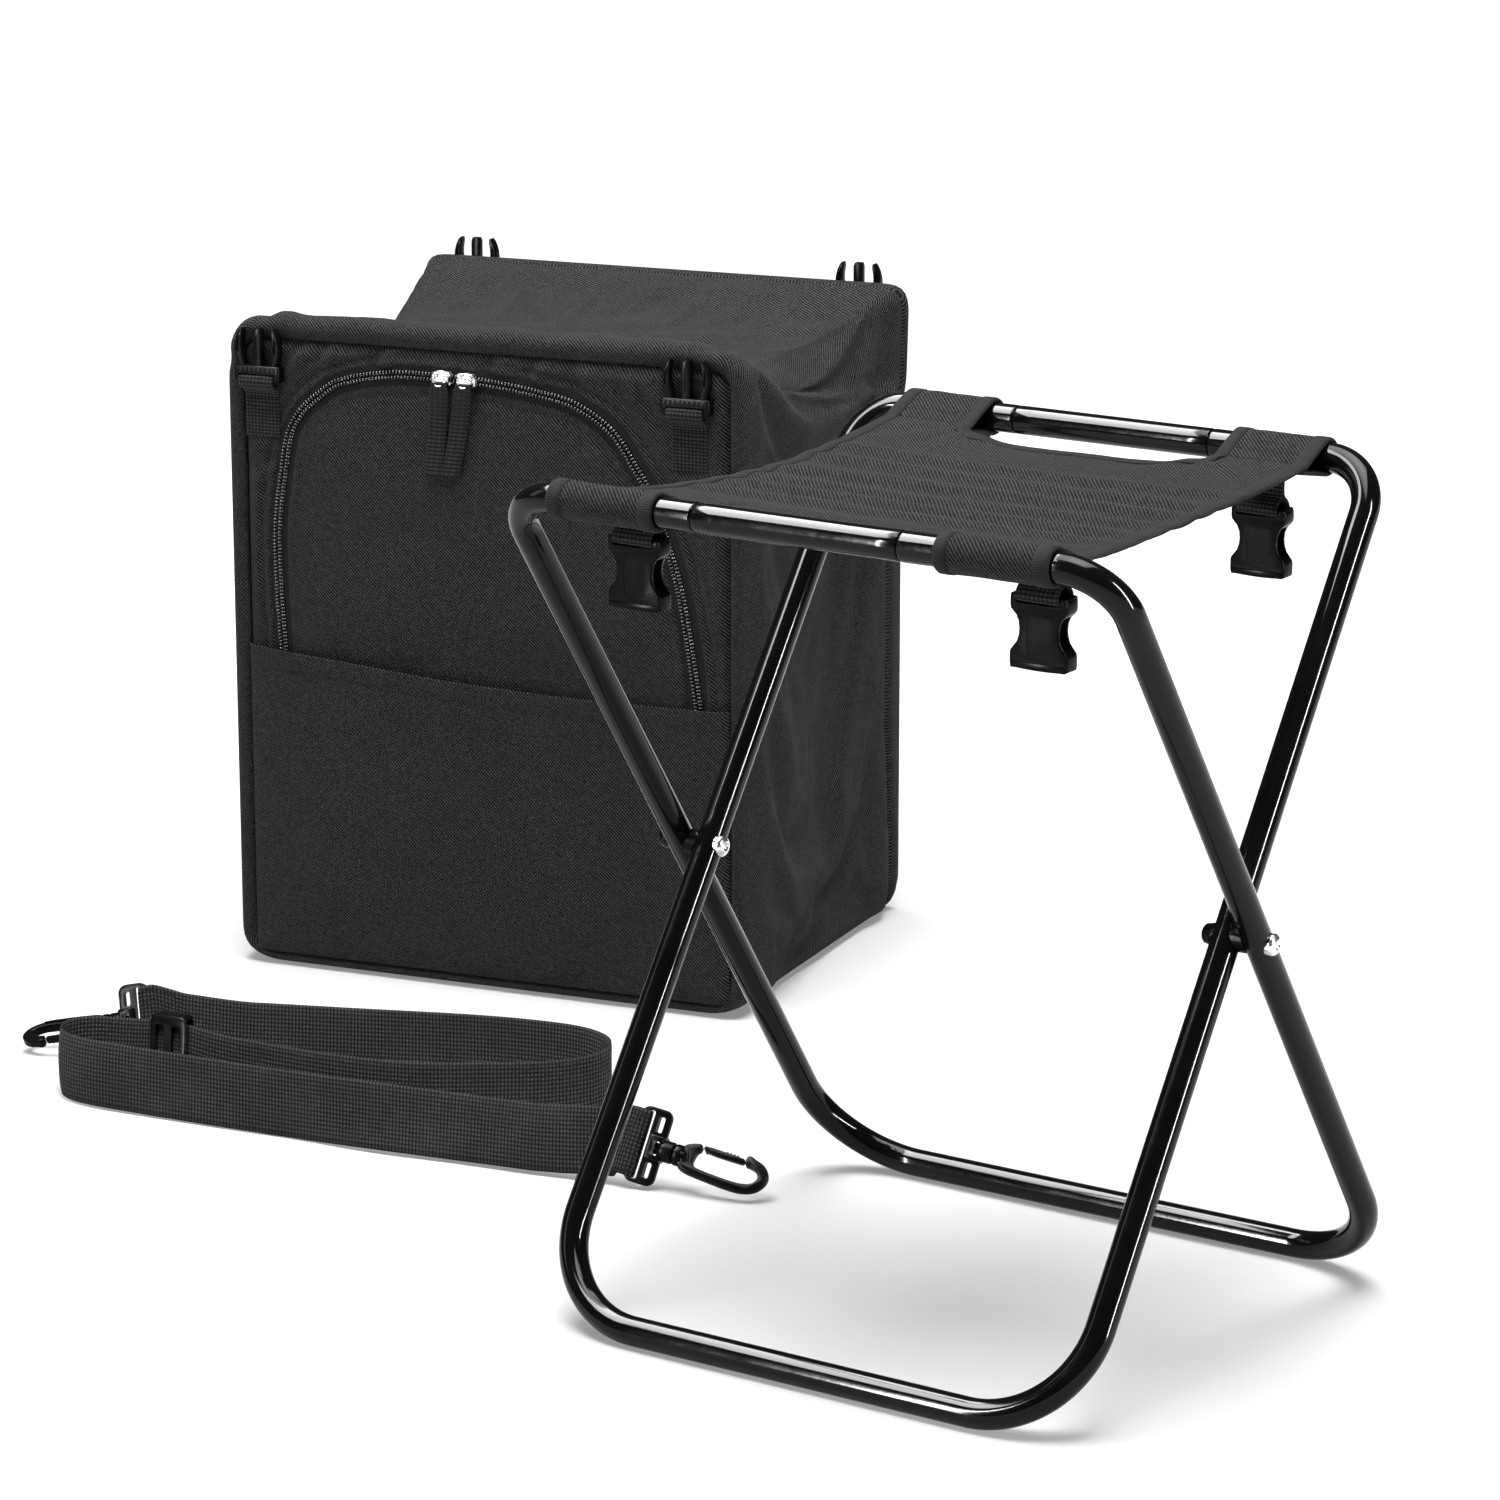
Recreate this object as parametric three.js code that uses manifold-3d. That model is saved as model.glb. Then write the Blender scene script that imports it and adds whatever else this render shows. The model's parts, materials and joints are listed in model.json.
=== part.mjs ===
// Folding cooler stool: an X-frame stool with a sling seat, the insulated bag that
// clips under it on side-release buckles, and the bag's shoulder strap.
// Millimetres, +Z up. The three pieces stand on one floor, side by side.
import * as THREE from 'three';
import { mergeVertices } from 'three/addons/utils/BufferGeometryUtils.js';
import Module from 'manifold-3d';

const wasm = await Module();
wasm.setup();

// ---- driving dimensions -------------------------------------------------
const GAP = 0.3;              // clearance between touching pieces
const TUBE_R = 8;             // frame tube, 16 mm outside
const TUBE_BORE = 6.8;        // 1.2 mm wall
const OUTER_W = 179.5;        // half width of the outer loop, to tube centre
const INNER_W = 161;          // half width of the inner loop
const HALF_DEPTH = 157.5;     // rails, front and back, to tube centre
const RAIL_Z = 452;           // top rails, to tube centre
const FOOT_Z = TUBE_R;        // bottom rails lie on the floor
const R_TOP = 30;             // bend at the seat corners
const R_FOOT = 58;            // bend at the feet
const GRIP_HALF = 61;         // half length of the bare grip rail
const SPIGOT = 30;            // grip rail spigot inside each tube end
const PIVOT_Z = (RAIL_Z + FOOT_Z) / 2;
const BOLT_R = 3;
const SEAT_T = 3;             // seat panel thickness
const SEAT_Z = 448;           // underside of the seat panel
const SOCK_W = 33, SOCK_H = 39, SOCK_T = 11;   // 25 mm side-release buckle
const SOCK_NEAR_X = 121, SOCK_NEAR_Y = -123;
const SOCK_FAR_X = 92, SOCK_FAR_Y = 157.5;

const BAG_W = 352, BAG_D = 284, BAG_H = 428, WALL = 8;
const BAG_AT = [-574, 455], BAG_YAW = 11;      // where the bag stands
const POCKET_TOP = 212, POCKET_GAP = 8, POCKET_T = 2;
const DOOR_FOOT = 215.5;
// front door outline in the front plane, left foot to right foot (x, z)
const ARCH = [[-144, 215.5], [-146.2, 257.7], [-146.2, 295], [-141.9, 327.3], [-135.4, 358.5], [-126.7, 372], [-114.8, 382.4],
  [-101.8, 391.2], [-68.2, 399], [-39, 400.3], [2.2, 399], [39, 394.8], [65, 389.1], [89.9, 374],
  [105.1, 353.3], [114.8, 337.7], [126.7, 306.5], [135.4, 278.4], [141.9, 244.2], [146.2, 215.5]];

const WEB_W = 40, WEB_T = 2.4, WEB_Z = 2.6;     // shoulder strap webbing, and its lower edge
const LEAN = 0.466;                            // the webbing stands on edge and leans back
const LEAN_DIR = [-0.554, 0.832];
// plan of the folded strap, right hook end to left hook end
const STRAP = [[-255.4, 46.1], [-295, 38.5], [-350, 28.5], [-405, 18.5], [-460, 9.5], [-515, 0.5], [-570, -8.5], [-610, -13.5],
  [-632, -8.5], [-641, 7.5], [-632, 22.5], [-612, 29.3], [-585, 32.6], [-550, 36.9], [-515, 41.2], [-480, 45.5],
  [-445, 52.5], [-410, 64.5], [-375, 86.5], [-350, 105.5], [-335, 127.5], [-335, 149.5], [-350, 165.5], [-376, 170.5],
  [-420, 161.5], [-470, 144], [-520, 124.5], [-565, 105], [-600, 89], [-623, 79.2]];

// ---- finishes -----------------------------------------------------------
const mat = (color, roughness, metalness) => new THREE.MeshStandardMaterial({ color, roughness, metalness });
const ENAMEL = mat(0x0b0b0c, 0.25, 0.1);
const STEEL = mat(0xb8bcc0, 0.25, 1.0);
const NYLON = mat(0x101011, 0.45, 0.0);
const CLOTH = mat(0x222224, 0.9, 0.0);
const TAPE = mat(0x1a1a1b, 0.85, 0.0);
const FOIL = mat(0xb9bcc0, 0.35, 0.6);
const BOARD = mat(0x3a3a3c, 0.7, 0.0);

// ---- solids -------------------------------------------------------------
function outward(geo) {
  // one closed body with merged corners and faces pointing out
  let g = geo.clone();
  for (const k of Object.keys(g.attributes)) if (k !== 'position') g.deleteAttribute(k);
  g = mergeVertices(g, 1e-4);
  const p = g.attributes.position, ix = g.index.array;
  let vol = 0;
  const a = new THREE.Vector3(), b = new THREE.Vector3(), c = new THREE.Vector3();
  for (let i = 0; i < ix.length; i += 3) {
    a.fromBufferAttribute(p, ix[i]); b.fromBufferAttribute(p, ix[i + 1]); c.fromBufferAttribute(p, ix[i + 2]);
    vol += a.dot(b.cross(c));
  }
  if (vol < 0) for (let i = 0; i < ix.length; i += 3) { const t = ix[i]; ix[i] = ix[i + 1]; ix[i + 1] = t; }
  return g;
}
function solid(geo) {
  const g = outward(geo);
  return new wasm.Manifold(new wasm.Mesh({
    numProp: 3, vertProperties: new Float32Array(g.attributes.position.array),
    triVerts: new Uint32Array(g.index.array),
  }));
}
function geometry(m) {
  const mesh = m.getMesh();
  const g = new THREE.BufferGeometry();
  g.setAttribute('position', new THREE.BufferAttribute(new Float32Array(mesh.vertProperties), 3));
  g.setIndex(new THREE.BufferAttribute(new Uint32Array(mesh.triVerts), 1));
  g.computeVertexNormals();
  return g;
}
const cut = (geo, ...tools) => geometry(tools.reduce((m, t) => m.subtract(solid(t)), solid(geo)));
const join = (geo, ...more) => geometry(more.reduce((m, t) => m.add(solid(t)), solid(geo)));

const box = (x0, y0, z0, x1, y1, z1) =>
  new THREE.BoxGeometry(x1 - x0, y1 - y0, z1 - z0).translate((x0 + x1) / 2, (y0 + y1) / 2, (z0 + z1) / 2);
function plate(points, depth) {
  // outline in X, Z extruded along +Y from y = 0
  const s = new THREE.Shape(points.map(([x, z]) => new THREE.Vector2(x, z)));
  const g = new THREE.ExtrudeGeometry(s, { depth, bevelEnabled: false });
  return g.rotateX(Math.PI / 2).translate(0, depth, 0);
}
function cylinderX(r, x0, x1, sides = 16) {
  return new THREE.CylinderGeometry(r, r, x1 - x0, sides).rotateZ(Math.PI / 2).translate((x0 + x1) / 2, 0, 0);
}
function latheX(profile, sides = 16) {
  // profile of (radius, x) turned about the X axis
  return new THREE.LatheGeometry(profile.map(([r, x]) => new THREE.Vector2(r, x)), sides).rotateZ(-Math.PI / 2);
}
function offset(points, d) {
  // moves a clockwise outline outward by d
  const n = points.length;
  return points.map((p, i) => {
    const a = points[(i + n - 1) % n], b = points[(i + 1) % n];
    const e0 = [p[0] - a[0], p[1] - a[1]], e1 = [b[0] - p[0], b[1] - p[1]];
    const l0 = Math.hypot(...e0), l1 = Math.hypot(...e1);
    const n0 = [-e0[1] / l0, e0[0] / l0], n1 = [-e1[1] / l1, e1[0] / l1];
    const m = [n0[0] + n1[0], n0[1] + n1[1]];
    const k = 2 / (m[0] * m[0] + m[1] * m[1]);
    return [p[0] + m[0] * k * d, p[1] + m[1] * k * d];
  });
}
class Stations extends THREE.Curve {
  // a bent tube's centre line, with stations only where it bends
  constructor(pts, tangents) { super(); this.pts = pts; this.tangents = tangents; }
  at(list, u) {
    const f = u * (list.length - 1), i = Math.min(list.length - 2, Math.floor(f + 1e-9)), k = f - i;
    return list[i].clone().lerp(list[i + 1], Math.max(0, k));
  }
  getPoint(t) { return this.at(this.pts, t); }
  getPointAt(u) { return this.at(this.pts, u); }
  getTangentAt(u) { return this.at(this.tangents, u).normalize(); }
}
function ring(r, n, cx = 0, cy = 0) {
  return Array.from({ length: n }, (_, i) => {
    const a = (i + 0.5) * 2 * Math.PI / n;
    return new THREE.Vector2(cx + r * Math.cos(a), cy + r * Math.sin(a));
  });
}

const group = new THREE.Group();
function add(parent, name, geo, material) {
  const mesh = new THREE.Mesh(outward(geo), material);
  mesh.geometry.computeVertexNormals();
  mesh.name = name;
  parent.add(mesh);
  return mesh;
}

// ---- stool --------------------------------------------------------------
const stool = new THREE.Group();
group.add(stool);

function loopTube(w, lean) {
  // bent tube from grip rail end round both legs and the foot rail; lean is the sign of y at the top
  const half = Math.hypot(HALF_DEPTH, (RAIL_Z - FOOT_Z) / 2);
  const v = new THREE.Vector3(0, lean * HALF_DEPTH, (RAIL_Z - FOOT_Z) / 2).normalize();
  const u = new THREE.Vector3(1, 0, 0), o = new THREE.Vector3(0, 0, PIVOT_Z);
  const P = [], T = [];
  const put = (a, b, ta, tb) => {
    P.push(o.clone().addScaledVector(u, a).addScaledVector(v, b));
    T.push(u.clone().multiplyScalar(ta).addScaledVector(v, tb));
  };
  const arc = (cu, cv, r, a0, a1, n) => {
    for (let i = 0; i <= n; i++) {
      const a = THREE.MathUtils.degToRad(a0 + (a1 - a0) * i / n);
      put(cu + r * Math.cos(a), cv + r * Math.sin(a), Math.sin(a), -Math.cos(a));
    }
  };
  put(GRIP_HALF, half, 1, 0);
  arc(w - R_TOP, half - R_TOP, R_TOP, 90, 0, 6);
  arc(w - R_FOOT, -half + R_FOOT, R_FOOT, 0, -90, 7);
  arc(-w + R_FOOT, -half + R_FOOT, R_FOOT, -90, -180, 7);
  arc(-w + R_TOP, half - R_TOP, R_TOP, 180, 90, 6);
  put(-GRIP_HALF, half, 1, 0);
  const section = new THREE.Shape(ring(TUBE_R, 14));
  section.holes.push(new THREE.Path(ring(TUBE_BORE, 10).reverse()));
  const tube = new THREE.ExtrudeGeometry(section, { steps: P.length - 1, extrudePath: new Stations(P, T) });
  const hole = cylinderX(BOLT_R + GAP, -220, 220, 12).translate(0, 0, PIVOT_Z);
  return cut(tube, hole);
}
add(stool, 'outer_frame_tube', loopTube(OUTER_W, -1), ENAMEL);
add(stool, 'inner_frame_tube', loopTube(INNER_W, 1), ENAMEL);

const gripProfile = [[0, -GRIP_HALF - SPIGOT], [6.1, -GRIP_HALF - SPIGOT], [6.1, -GRIP_HALF + GAP],
  [TUBE_R, -GRIP_HALF + GAP], [TUBE_R, GRIP_HALF - GAP], [6.1, GRIP_HALF - GAP],
  [6.1, GRIP_HALF + SPIGOT], [0, GRIP_HALF + SPIGOT]];
add(stool, 'outer_grip_rail', latheX(gripProfile, 14).translate(0, -HALF_DEPTH, RAIL_Z), ENAMEL);
add(stool, 'inner_grip_rail', latheX(gripProfile, 14).translate(0, HALF_DEPTH, RAIL_Z), ENAMEL);

// pivot: a bolt through both legs on each side, a spacer between the tubes, a cap nut
const GAP_IN = INNER_W + TUBE_R, GAP_OUT = OUTER_W - TUBE_R;     // space between the tubes
const LEG_IN = INNER_W - TUBE_R, LEG_OUT = OUTER_W + TUBE_R;     // inside and outside of the leg pair
function bolt(head, tip) {
  // domed head at x = head, thread end at x = tip
  const s = Math.sign(tip - head);
  const h0 = head - s * GAP;
  return latheX([[0, h0 - s * 3.4], [3.2, h0 - s * 2.9], [5.2, h0 - s * 1.5], [5.8, h0], [BOLT_R, h0],
    [BOLT_R, tip + s * 3.5], [0, tip + s * 3.5]], 14).translate(0, 0, PIVOT_Z);
}
function nut(face, s) {
  // domed cap nut with its bearing face at x = face, pointing along s
  const x = (d) => face + s * d;
  return latheX([[BOLT_R + GAP, x(GAP)], [5.6, x(GAP)], [5.6, x(3.4)], [4.4, x(5.0)], [0, x(5.6)], [0, x(4.2)],
    [BOLT_R + GAP, x(4.2)], [BOLT_R + GAP, x(GAP)]], 12).translate(0, 0, PIVOT_Z);
}
const spacer = () => latheX([[BOLT_R + GAP, GAP_IN + GAP], [7, GAP_IN + GAP], [7, GAP_OUT - GAP],
  [BOLT_R + GAP, GAP_OUT - GAP], [BOLT_R + GAP, GAP_IN + GAP]], 14);
add(stool, 'pivot_bolt_right', bolt(LEG_OUT, LEG_IN), STEEL);
add(stool, 'pivot_nut_right', nut(LEG_IN, -1), NYLON);
add(stool, 'pivot_spacer_right', spacer().translate(0, 0, PIVOT_Z), NYLON);
add(stool, 'pivot_bolt_left', bolt(-LEG_IN, -LEG_OUT), STEEL);
add(stool, 'pivot_nut_left', nut(-LEG_OUT, -1), NYLON);
add(stool, 'pivot_spacer_left', spacer().rotateY(Math.PI).translate(0, 0, PIVOT_Z), NYLON);

// seat: a sling panel with a hand gap at each rail, hung on four sleeves
const SLEEVE_R = 10.4, TONGUE = HALF_DEPTH - SLEEVE_R - GAP;
const seatPlan = [[-148, -TONGUE], [-84, -TONGUE], [-80, -132], [-70, -121], [-54, -116], [54, -116], [70, -121], [80, -132],
  [84, -TONGUE], [148, -TONGUE], [131, TONGUE], [76, TONGUE], [72, 132], [62, 121], [47, 116], [-47, 116], [-62, 121],
  [-72, 132], [-76, TONGUE], [-131, TONGUE]];
const seatShape = new THREE.Shape(seatPlan.map(([x, y]) => new THREE.Vector2(x, y)));
add(stool, 'seat_panel', new THREE.ExtrudeGeometry(seatShape, { depth: SEAT_T, bevelEnabled: false }).translate(0, 0, SEAT_Z), CLOTH);

function sleeve(x0, x1, s) {
  // fabric hem wrapped round the rail; s is the sign of y
  return latheX([[TUBE_R + GAP, x0], [SLEEVE_R, x0], [SLEEVE_R, x1], [TUBE_R + GAP, x1], [TUBE_R + GAP, x0]], 16)
    .translate(0, s * HALF_DEPTH, RAIL_Z);
}
add(stool, 'seat_sleeve_front_left', sleeve(-148, -84, -1), CLOTH);
add(stool, 'seat_sleeve_front_right', sleeve(84, 148, -1), CLOTH);
add(stool, 'seat_sleeve_back_left', sleeve(-131, -76, 1), CLOTH);
add(stool, 'seat_sleeve_back_right', sleeve(76, 131, 1), CLOTH);

// buckle sockets under the seat corners, each swinging on a webbing tab
const SOCK_TOP = { front: 432, back: 424 };          // hinge line of each socket
function socketBody() {
  // hinge line at the origin, mouth pointing down; side windows for the prongs
  const top = -2.2, bot = top - SOCK_H, w = SOCK_W / 2;
  const outline = [[-w, top], [w, top], [w, top - 9], [w - 4, top - 13], [w - 4, top - 24], [w, top - 28], [w, bot],
    [-w, bot], [-w, top - 28], [-w + 4, top - 24], [-w + 4, top - 13], [-w, top - 9]];
  const body = plate(outline, SOCK_T).translate(0, -SOCK_T / 2, 0);
  const mouth = box(-w + 2.2, -3.7, bot - 1, w - 2.2, 3.7, bot + 10);
  const throat = box(-w + 6, -3.7, bot + 9, w - 6, 3.7, top - 8);
  const slot = box(-13, -SOCK_T, top - 5.6, 13, SOCK_T, top - 2.6);
  return cut(body, mouth, throat, slot);
}
const sockets = [['front_left', -SOCK_NEAR_X, SOCK_NEAR_Y, SOCK_TOP.front, SEAT_Z],
  ['front_right', SOCK_NEAR_X, SOCK_NEAR_Y, SOCK_TOP.front, SEAT_Z],
  ['back_left', -SOCK_FAR_X, SOCK_FAR_Y, SOCK_TOP.back, RAIL_Z - SLEEVE_R],
  ['back_right', SOCK_FAR_X, SOCK_FAR_Y, SOCK_TOP.back, RAIL_Z - SLEEVE_R]];
for (const [n, x, y, z, under] of sockets) {
  add(stool, 'socket_tab_' + n, box(x - 12.5, y - 1, z, x + 12.5, y + 1, under - GAP), TAPE);
  add(stool, 'buckle_socket_' + n, socketBody().translate(x, y, z), NYLON);
}

// ---- cooler bag ---------------------------------------------------------
const bag = new THREE.Group();
bag.position.set(BAG_AT[0], BAG_AT[1], 0);
bag.rotation.z = THREE.MathUtils.degToRad(BAG_YAW);
group.add(bag);
const W2 = BAG_W / 2, D2 = BAG_D / 2, Z0 = WALL + GAP, Z1 = BAG_H - WALL - GAP;
const doorHole = offset(ARCH, 0.6);
add(bag, 'bag_base', box(-W2, -D2, 0, W2, D2, WALL), CLOTH);
add(bag, 'bag_roof', box(-W2, -D2, BAG_H - WALL, W2, D2, BAG_H), CLOTH);
add(bag, 'bag_front_panel', cut(box(-W2, -D2, Z0, W2, -D2 + WALL, Z1), plate(doorHole, 30).translate(0, -D2 - 10, 0)), CLOTH);
add(bag, 'bag_back_panel', box(-W2, D2 - WALL, Z0, W2, D2, Z1), CLOTH);
add(bag, 'bag_left_panel', box(-W2, -D2 + Z0, Z0, -W2 + WALL, D2 - Z0, Z1), CLOTH);
add(bag, 'bag_right_panel', box(W2 - WALL, -D2 + Z0, Z0, W2, D2 - Z0, Z1), CLOTH);
// the door's right side runs straight down near its foot, so that it clears the opening as it folds
const DOOR = [...ARCH.slice(0, -2), [141.4, 244.2], [141.4, DOOR_FOOT]];
add(bag, 'front_door', plate(DOOR, 6).translate(0, -D2, 0), CLOTH);

const lx = W2 - WALL - 0.8, ly = D2 - WALL - 0.8, lz0 = WALL + 0.8, lz1 = BAG_H - WALL - 0.8, LT = 1.2;
add(bag, 'bag_liner', cut(box(-lx, -ly, lz0, lx, ly, lz1),
  box(-lx + LT, -ly + LT, lz0 + LT, lx - LT, ly - LT, lz1 - LT),
  plate(offset(ARCH, 2.5), 20).translate(0, -ly - 10, 0)), FOIL);
add(bag, 'base_board', box(-lx + 6, -ly + 6, lz0 + LT + GAP, lx - 6, ly - 6, lz0 + LT + GAP + 3), BOARD);

// slip pocket: a panel sewn to the front along its sides and foot, open at the top
const PY0 = -D2 - GAP - POCKET_GAP - POCKET_T, PY1 = -D2 - GAP;
add(bag, 'slip_pocket', cut(box(-W2 + 4, PY0, 10, W2 - 4, PY1, POCKET_TOP),
  box(-W2 + 8, PY0 + POCKET_T, 14, W2 - 8, PY1 + 5, POCKET_TOP + 5)), CLOTH);

// zip: one tape on the panel, one on the door, with two sliders and their pulls
const ZIP_T = 1.5, ZIP_W = 4.2, SLIDER_Z = 394.5, PULL_L = 66;
function zipTape(inner, outer) {
  const line = (d) => offset(ARCH, d);
  const a = line(outer).map(([x, z]) => [x, Math.max(z, DOOR_FOOT)]), b = line(inner).map(([x, z]) => [x, Math.max(z, DOOR_FOOT)]);
  return plate([...a, ...b.reverse()], ZIP_T).translate(0, -D2 - GAP - ZIP_T, 0);
}
add(bag, 'zip_tape_outer', zipTape(0.8, ZIP_W), TAPE);
add(bag, 'zip_tape_inner', zipTape(-ZIP_W, -0.6), TAPE);
for (const [n, x] of [['left', -26], ['right', -9]]) {
  const y = -D2 - GAP - ZIP_T - GAP;
  add(bag, 'zip_slider_' + n, join(box(x - 4.5, y - 2.6, SLIDER_Z, x + 4.5, y, SLIDER_Z + 11.5), box(x - 1.4, y - 5.2, SLIDER_Z + 2.5, x + 1.4, y - 2.4, SLIDER_Z + 9)), STEEL);
  add(bag, 'zip_pull_' + n, box(x - 5, y - 7.6, SLIDER_Z + 6.5 - PULL_L, x + 5, y - 5.6, SLIDER_Z + 6.5), TAPE);
}

// male buckle plugs on webbing tabs, two on the front and two on the back
function plugBody() {
  // hinge line at the origin, prongs pointing up; outline in X, Z
  const base = box(-16.5, -4.5, 1.4, 16.5, 4.5, 12.4);
  const prong = (s) => plate([[s * 8.5, 12], [s * 13.5, 12], [s * 15.6, 20], [s * 15.6, 28], [s * 12.5, 36], [s * 10.2, 36], [s * 10.8, 27], [s * 10.2, 20]], 6).translate(0, -3, 0);
  const tongue = plate([[-3, 12], [-3, 33], [-1.5, 36], [1.5, 36], [3, 33], [3, 12]], 6).translate(0, -3, 0);
  return cut(join(base, prong(-1), prong(1), tongue), box(-13, -6, 4, 13, 6, 7.2));
}
const PLUG_FRONT_Z = 388, PLUG_BACK_Z = 405;
const plugs = [['front_left', -155, -1, PLUG_FRONT_Z], ['front_right', 143, -1, PLUG_FRONT_Z],
  ['back_left', -141, 1, PLUG_BACK_Z], ['back_right', 141, 1, PLUG_BACK_Z]];
for (const [n, x, s, z] of plugs) {
  const face = s * (D2 + GAP), y0 = Math.min(face, face + s * 1.6), y1 = Math.max(face, face + s * 1.6);
  add(bag, 'plug_tab_' + n, box(x - 12.5, y0, z - 35, x + 12.5, y1, z), TAPE);
  add(bag, 'buckle_plug_' + n, plugBody().translate(x, s * (D2 + 5.2), z), NYLON);
}

// strap rings on the sides
const RING_Y = 78, RING_Z = 304;
for (const [n, s] of [['left', -1], ['right', 1]]) {
  const x0 = s * (W2 + GAP), x1 = s * (W2 + GAP + 1.6);
  add(bag, 'ring_tab_' + n, box(Math.min(x0, x1), RING_Y - 13, RING_Z, Math.max(x0, x1), RING_Y + 13, RING_Z + 28), TAPE);
  const c = s * (W2 + GAP + 2.4);
  add(bag, 'strap_ring_' + n, cut(box(c - 2, RING_Y - 18, RING_Z - 27, c + 2, RING_Y + 18, RING_Z - 1),
    box(c - 5, RING_Y - 13.5, RING_Z - 22.5, c + 5, RING_Y + 13.5, RING_Z - 5.5)), NYLON);
}

// ---- shoulder strap -----------------------------------------------------
const strap = new THREE.Group();
group.add(strap);
const lean = new THREE.Matrix4().set(1, 0, LEAN * LEAN_DIR[0], 0, 0, 1, LEAN * LEAN_DIR[1], 0, 0, 0, 1, 0, 0, 0, 0, 1);
const route = new THREE.SplineCurve(STRAP.map(([x, y]) => new THREE.Vector2(x, y)));
const RUNS = 84, left = [], right = [];
for (let i = 0; i <= RUNS; i++) {
  const p = route.getPointAt(i / RUNS), t = route.getTangentAt(i / RUNS);
  left.push(new THREE.Vector2(p.x - t.y * WEB_T / 2, p.y + t.x * WEB_T / 2));
  right.push(new THREE.Vector2(p.x + t.y * WEB_T / 2, p.y - t.x * WEB_T / 2));
}
add(strap, 'strap_webbing', new THREE.ExtrudeGeometry(new THREE.Shape([...left, ...right.reverse()]),
  { depth: WEB_W, bevelEnabled: false }).translate(0, 0, WEB_Z).applyMatrix4(lean), TAPE);

// tri-glide adjuster: a frame the webbing runs through, on the straight run behind the left loop
const GLIDE_AT = 0.438;
{
  const p = route.getPointAt(GLIDE_AT), t = route.getTangentAt(GLIDE_AT);
  const g = cut(box(-13, -4.2, 0, 13, 4.2, WEB_Z + WEB_W + 2.6), box(-20, -WEB_T / 2 - 0.7, WEB_Z - GAP, 20, WEB_T / 2 + 0.7, WEB_Z + WEB_W + GAP),
    box(-9, -9, 6, -2.5, 9, WEB_W - 1), box(2.5, -9, 6, 9, 9, WEB_W - 1));
  g.rotateZ(Math.atan2(t.y, t.x)).translate(p.x, p.y, 0).applyMatrix4(lean);
  add(strap, 'strap_glide', g, NYLON);
}

// swivel snap hooks: a webbing frame, a swivelling hook and its sprung gate
function hookFrame() {
  const frame = cut(box(-4, -2.6, -22.6, 15, 2.6, 22.6), box(-0.5, -6, -20.4, 4.5, 6, 20.4), box(7.5, -6, 9, 11.5, 6, 18), box(7.5, -6, -18, 11.5, 6, -9));
  return join(frame, cylinderX(6.4, 14, 22, 12));
}
// hook outline in the plane of the hook (x along the swivel axis)
const HOOK_OUT = [[24, -6.5], [30, -9.5], [60, -11.2], [70, -10.2], [77, -6.4], [80.5, 0], [79.5, 5.6], [75, 9.6], [68, 11],
  [63.5, 10.6], [63.5, 6], [67, 6.2], [71.6, 4.8], [74.6, 1], [73.6, -2.8], [69.8, -5.4], [62, -6.4], [42, -5.6], [34.5, -4],
  [34.5, 5.2], [36.5, 6.6], [36.5, 10.8], [30, 9.2], [24, 6.5]];
function hookBody() {
  const s = new THREE.Shape(HOOK_OUT.map(([x, y]) => new THREE.Vector2(x, y)));
  const body = new THREE.ExtrudeGeometry(s, { depth: 6, bevelEnabled: false }).translate(0, 0, -3);
  return join(body, cylinderX(6.4, 22.4, 27, 12));
}
const gateBody = () => box(37.6, 6.4, -2.2, 63.1, 10.4, 2.2);
function hookGroup(at, z, yaw, droop, roll) {
  const g = new THREE.Group();
  g.position.set(at[0], at[1], z);
  g.rotation.order = 'ZYX';
  g.rotation.set(0, THREE.MathUtils.degToRad(droop), THREE.MathUtils.degToRad(yaw));
  const f = new THREE.Group();
  f.rotation.x = THREE.MathUtils.degToRad(roll[0]);
  const h = new THREE.Group();
  h.rotation.x = THREE.MathUtils.degToRad(roll[1]);
  g.add(f, h);
  strap.add(g);
  return [f, h];
}
const midLean = (p, z) => [p[0] + LEAN * LEAN_DIR[0] * z, p[1] + LEAN * LEAN_DIR[1] * z];
const HOOKS = {
  right: { end: STRAP[0], z: 24.2, yaw: 11, droop: 10, roll: [-23, 42], reach: 9 },
  left: { end: STRAP[STRAP.length - 1], z: 24.5, yaw: 203, droop: 12, roll: [23, -14], reach: 9 },
};
for (const [n, k] of Object.entries(HOOKS)) {
  const a = THREE.MathUtils.degToRad(k.yaw), m = midLean(k.end, k.z);
  const [f, h] = hookGroup([m[0] + Math.cos(a) * (k.reach + 4), m[1] + Math.sin(a) * (k.reach + 4)], k.z, k.yaw, k.droop, k.roll);
  add(f, 'hook_frame_' + n, hookFrame(), NYLON);
  add(h, 'snap_hook_' + n, hookBody(), NYLON);
  add(h, 'hook_gate_' + n, gateBody(), NYLON);
}

// ---- common origin: floor level, middle of the whole set ------------------
group.updateMatrixWorld(true);
const all = new THREE.Box3().setFromObject(group, true);
const mid = all.getCenter(new THREE.Vector3());
group.position.set(-mid.x, -mid.y, 0);
group.updateMatrixWorld(true);

export default group;
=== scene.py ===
import json
import math

import bmesh
import bpy
import numpy as np
from mathutils import Matrix, Vector, noise


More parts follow.
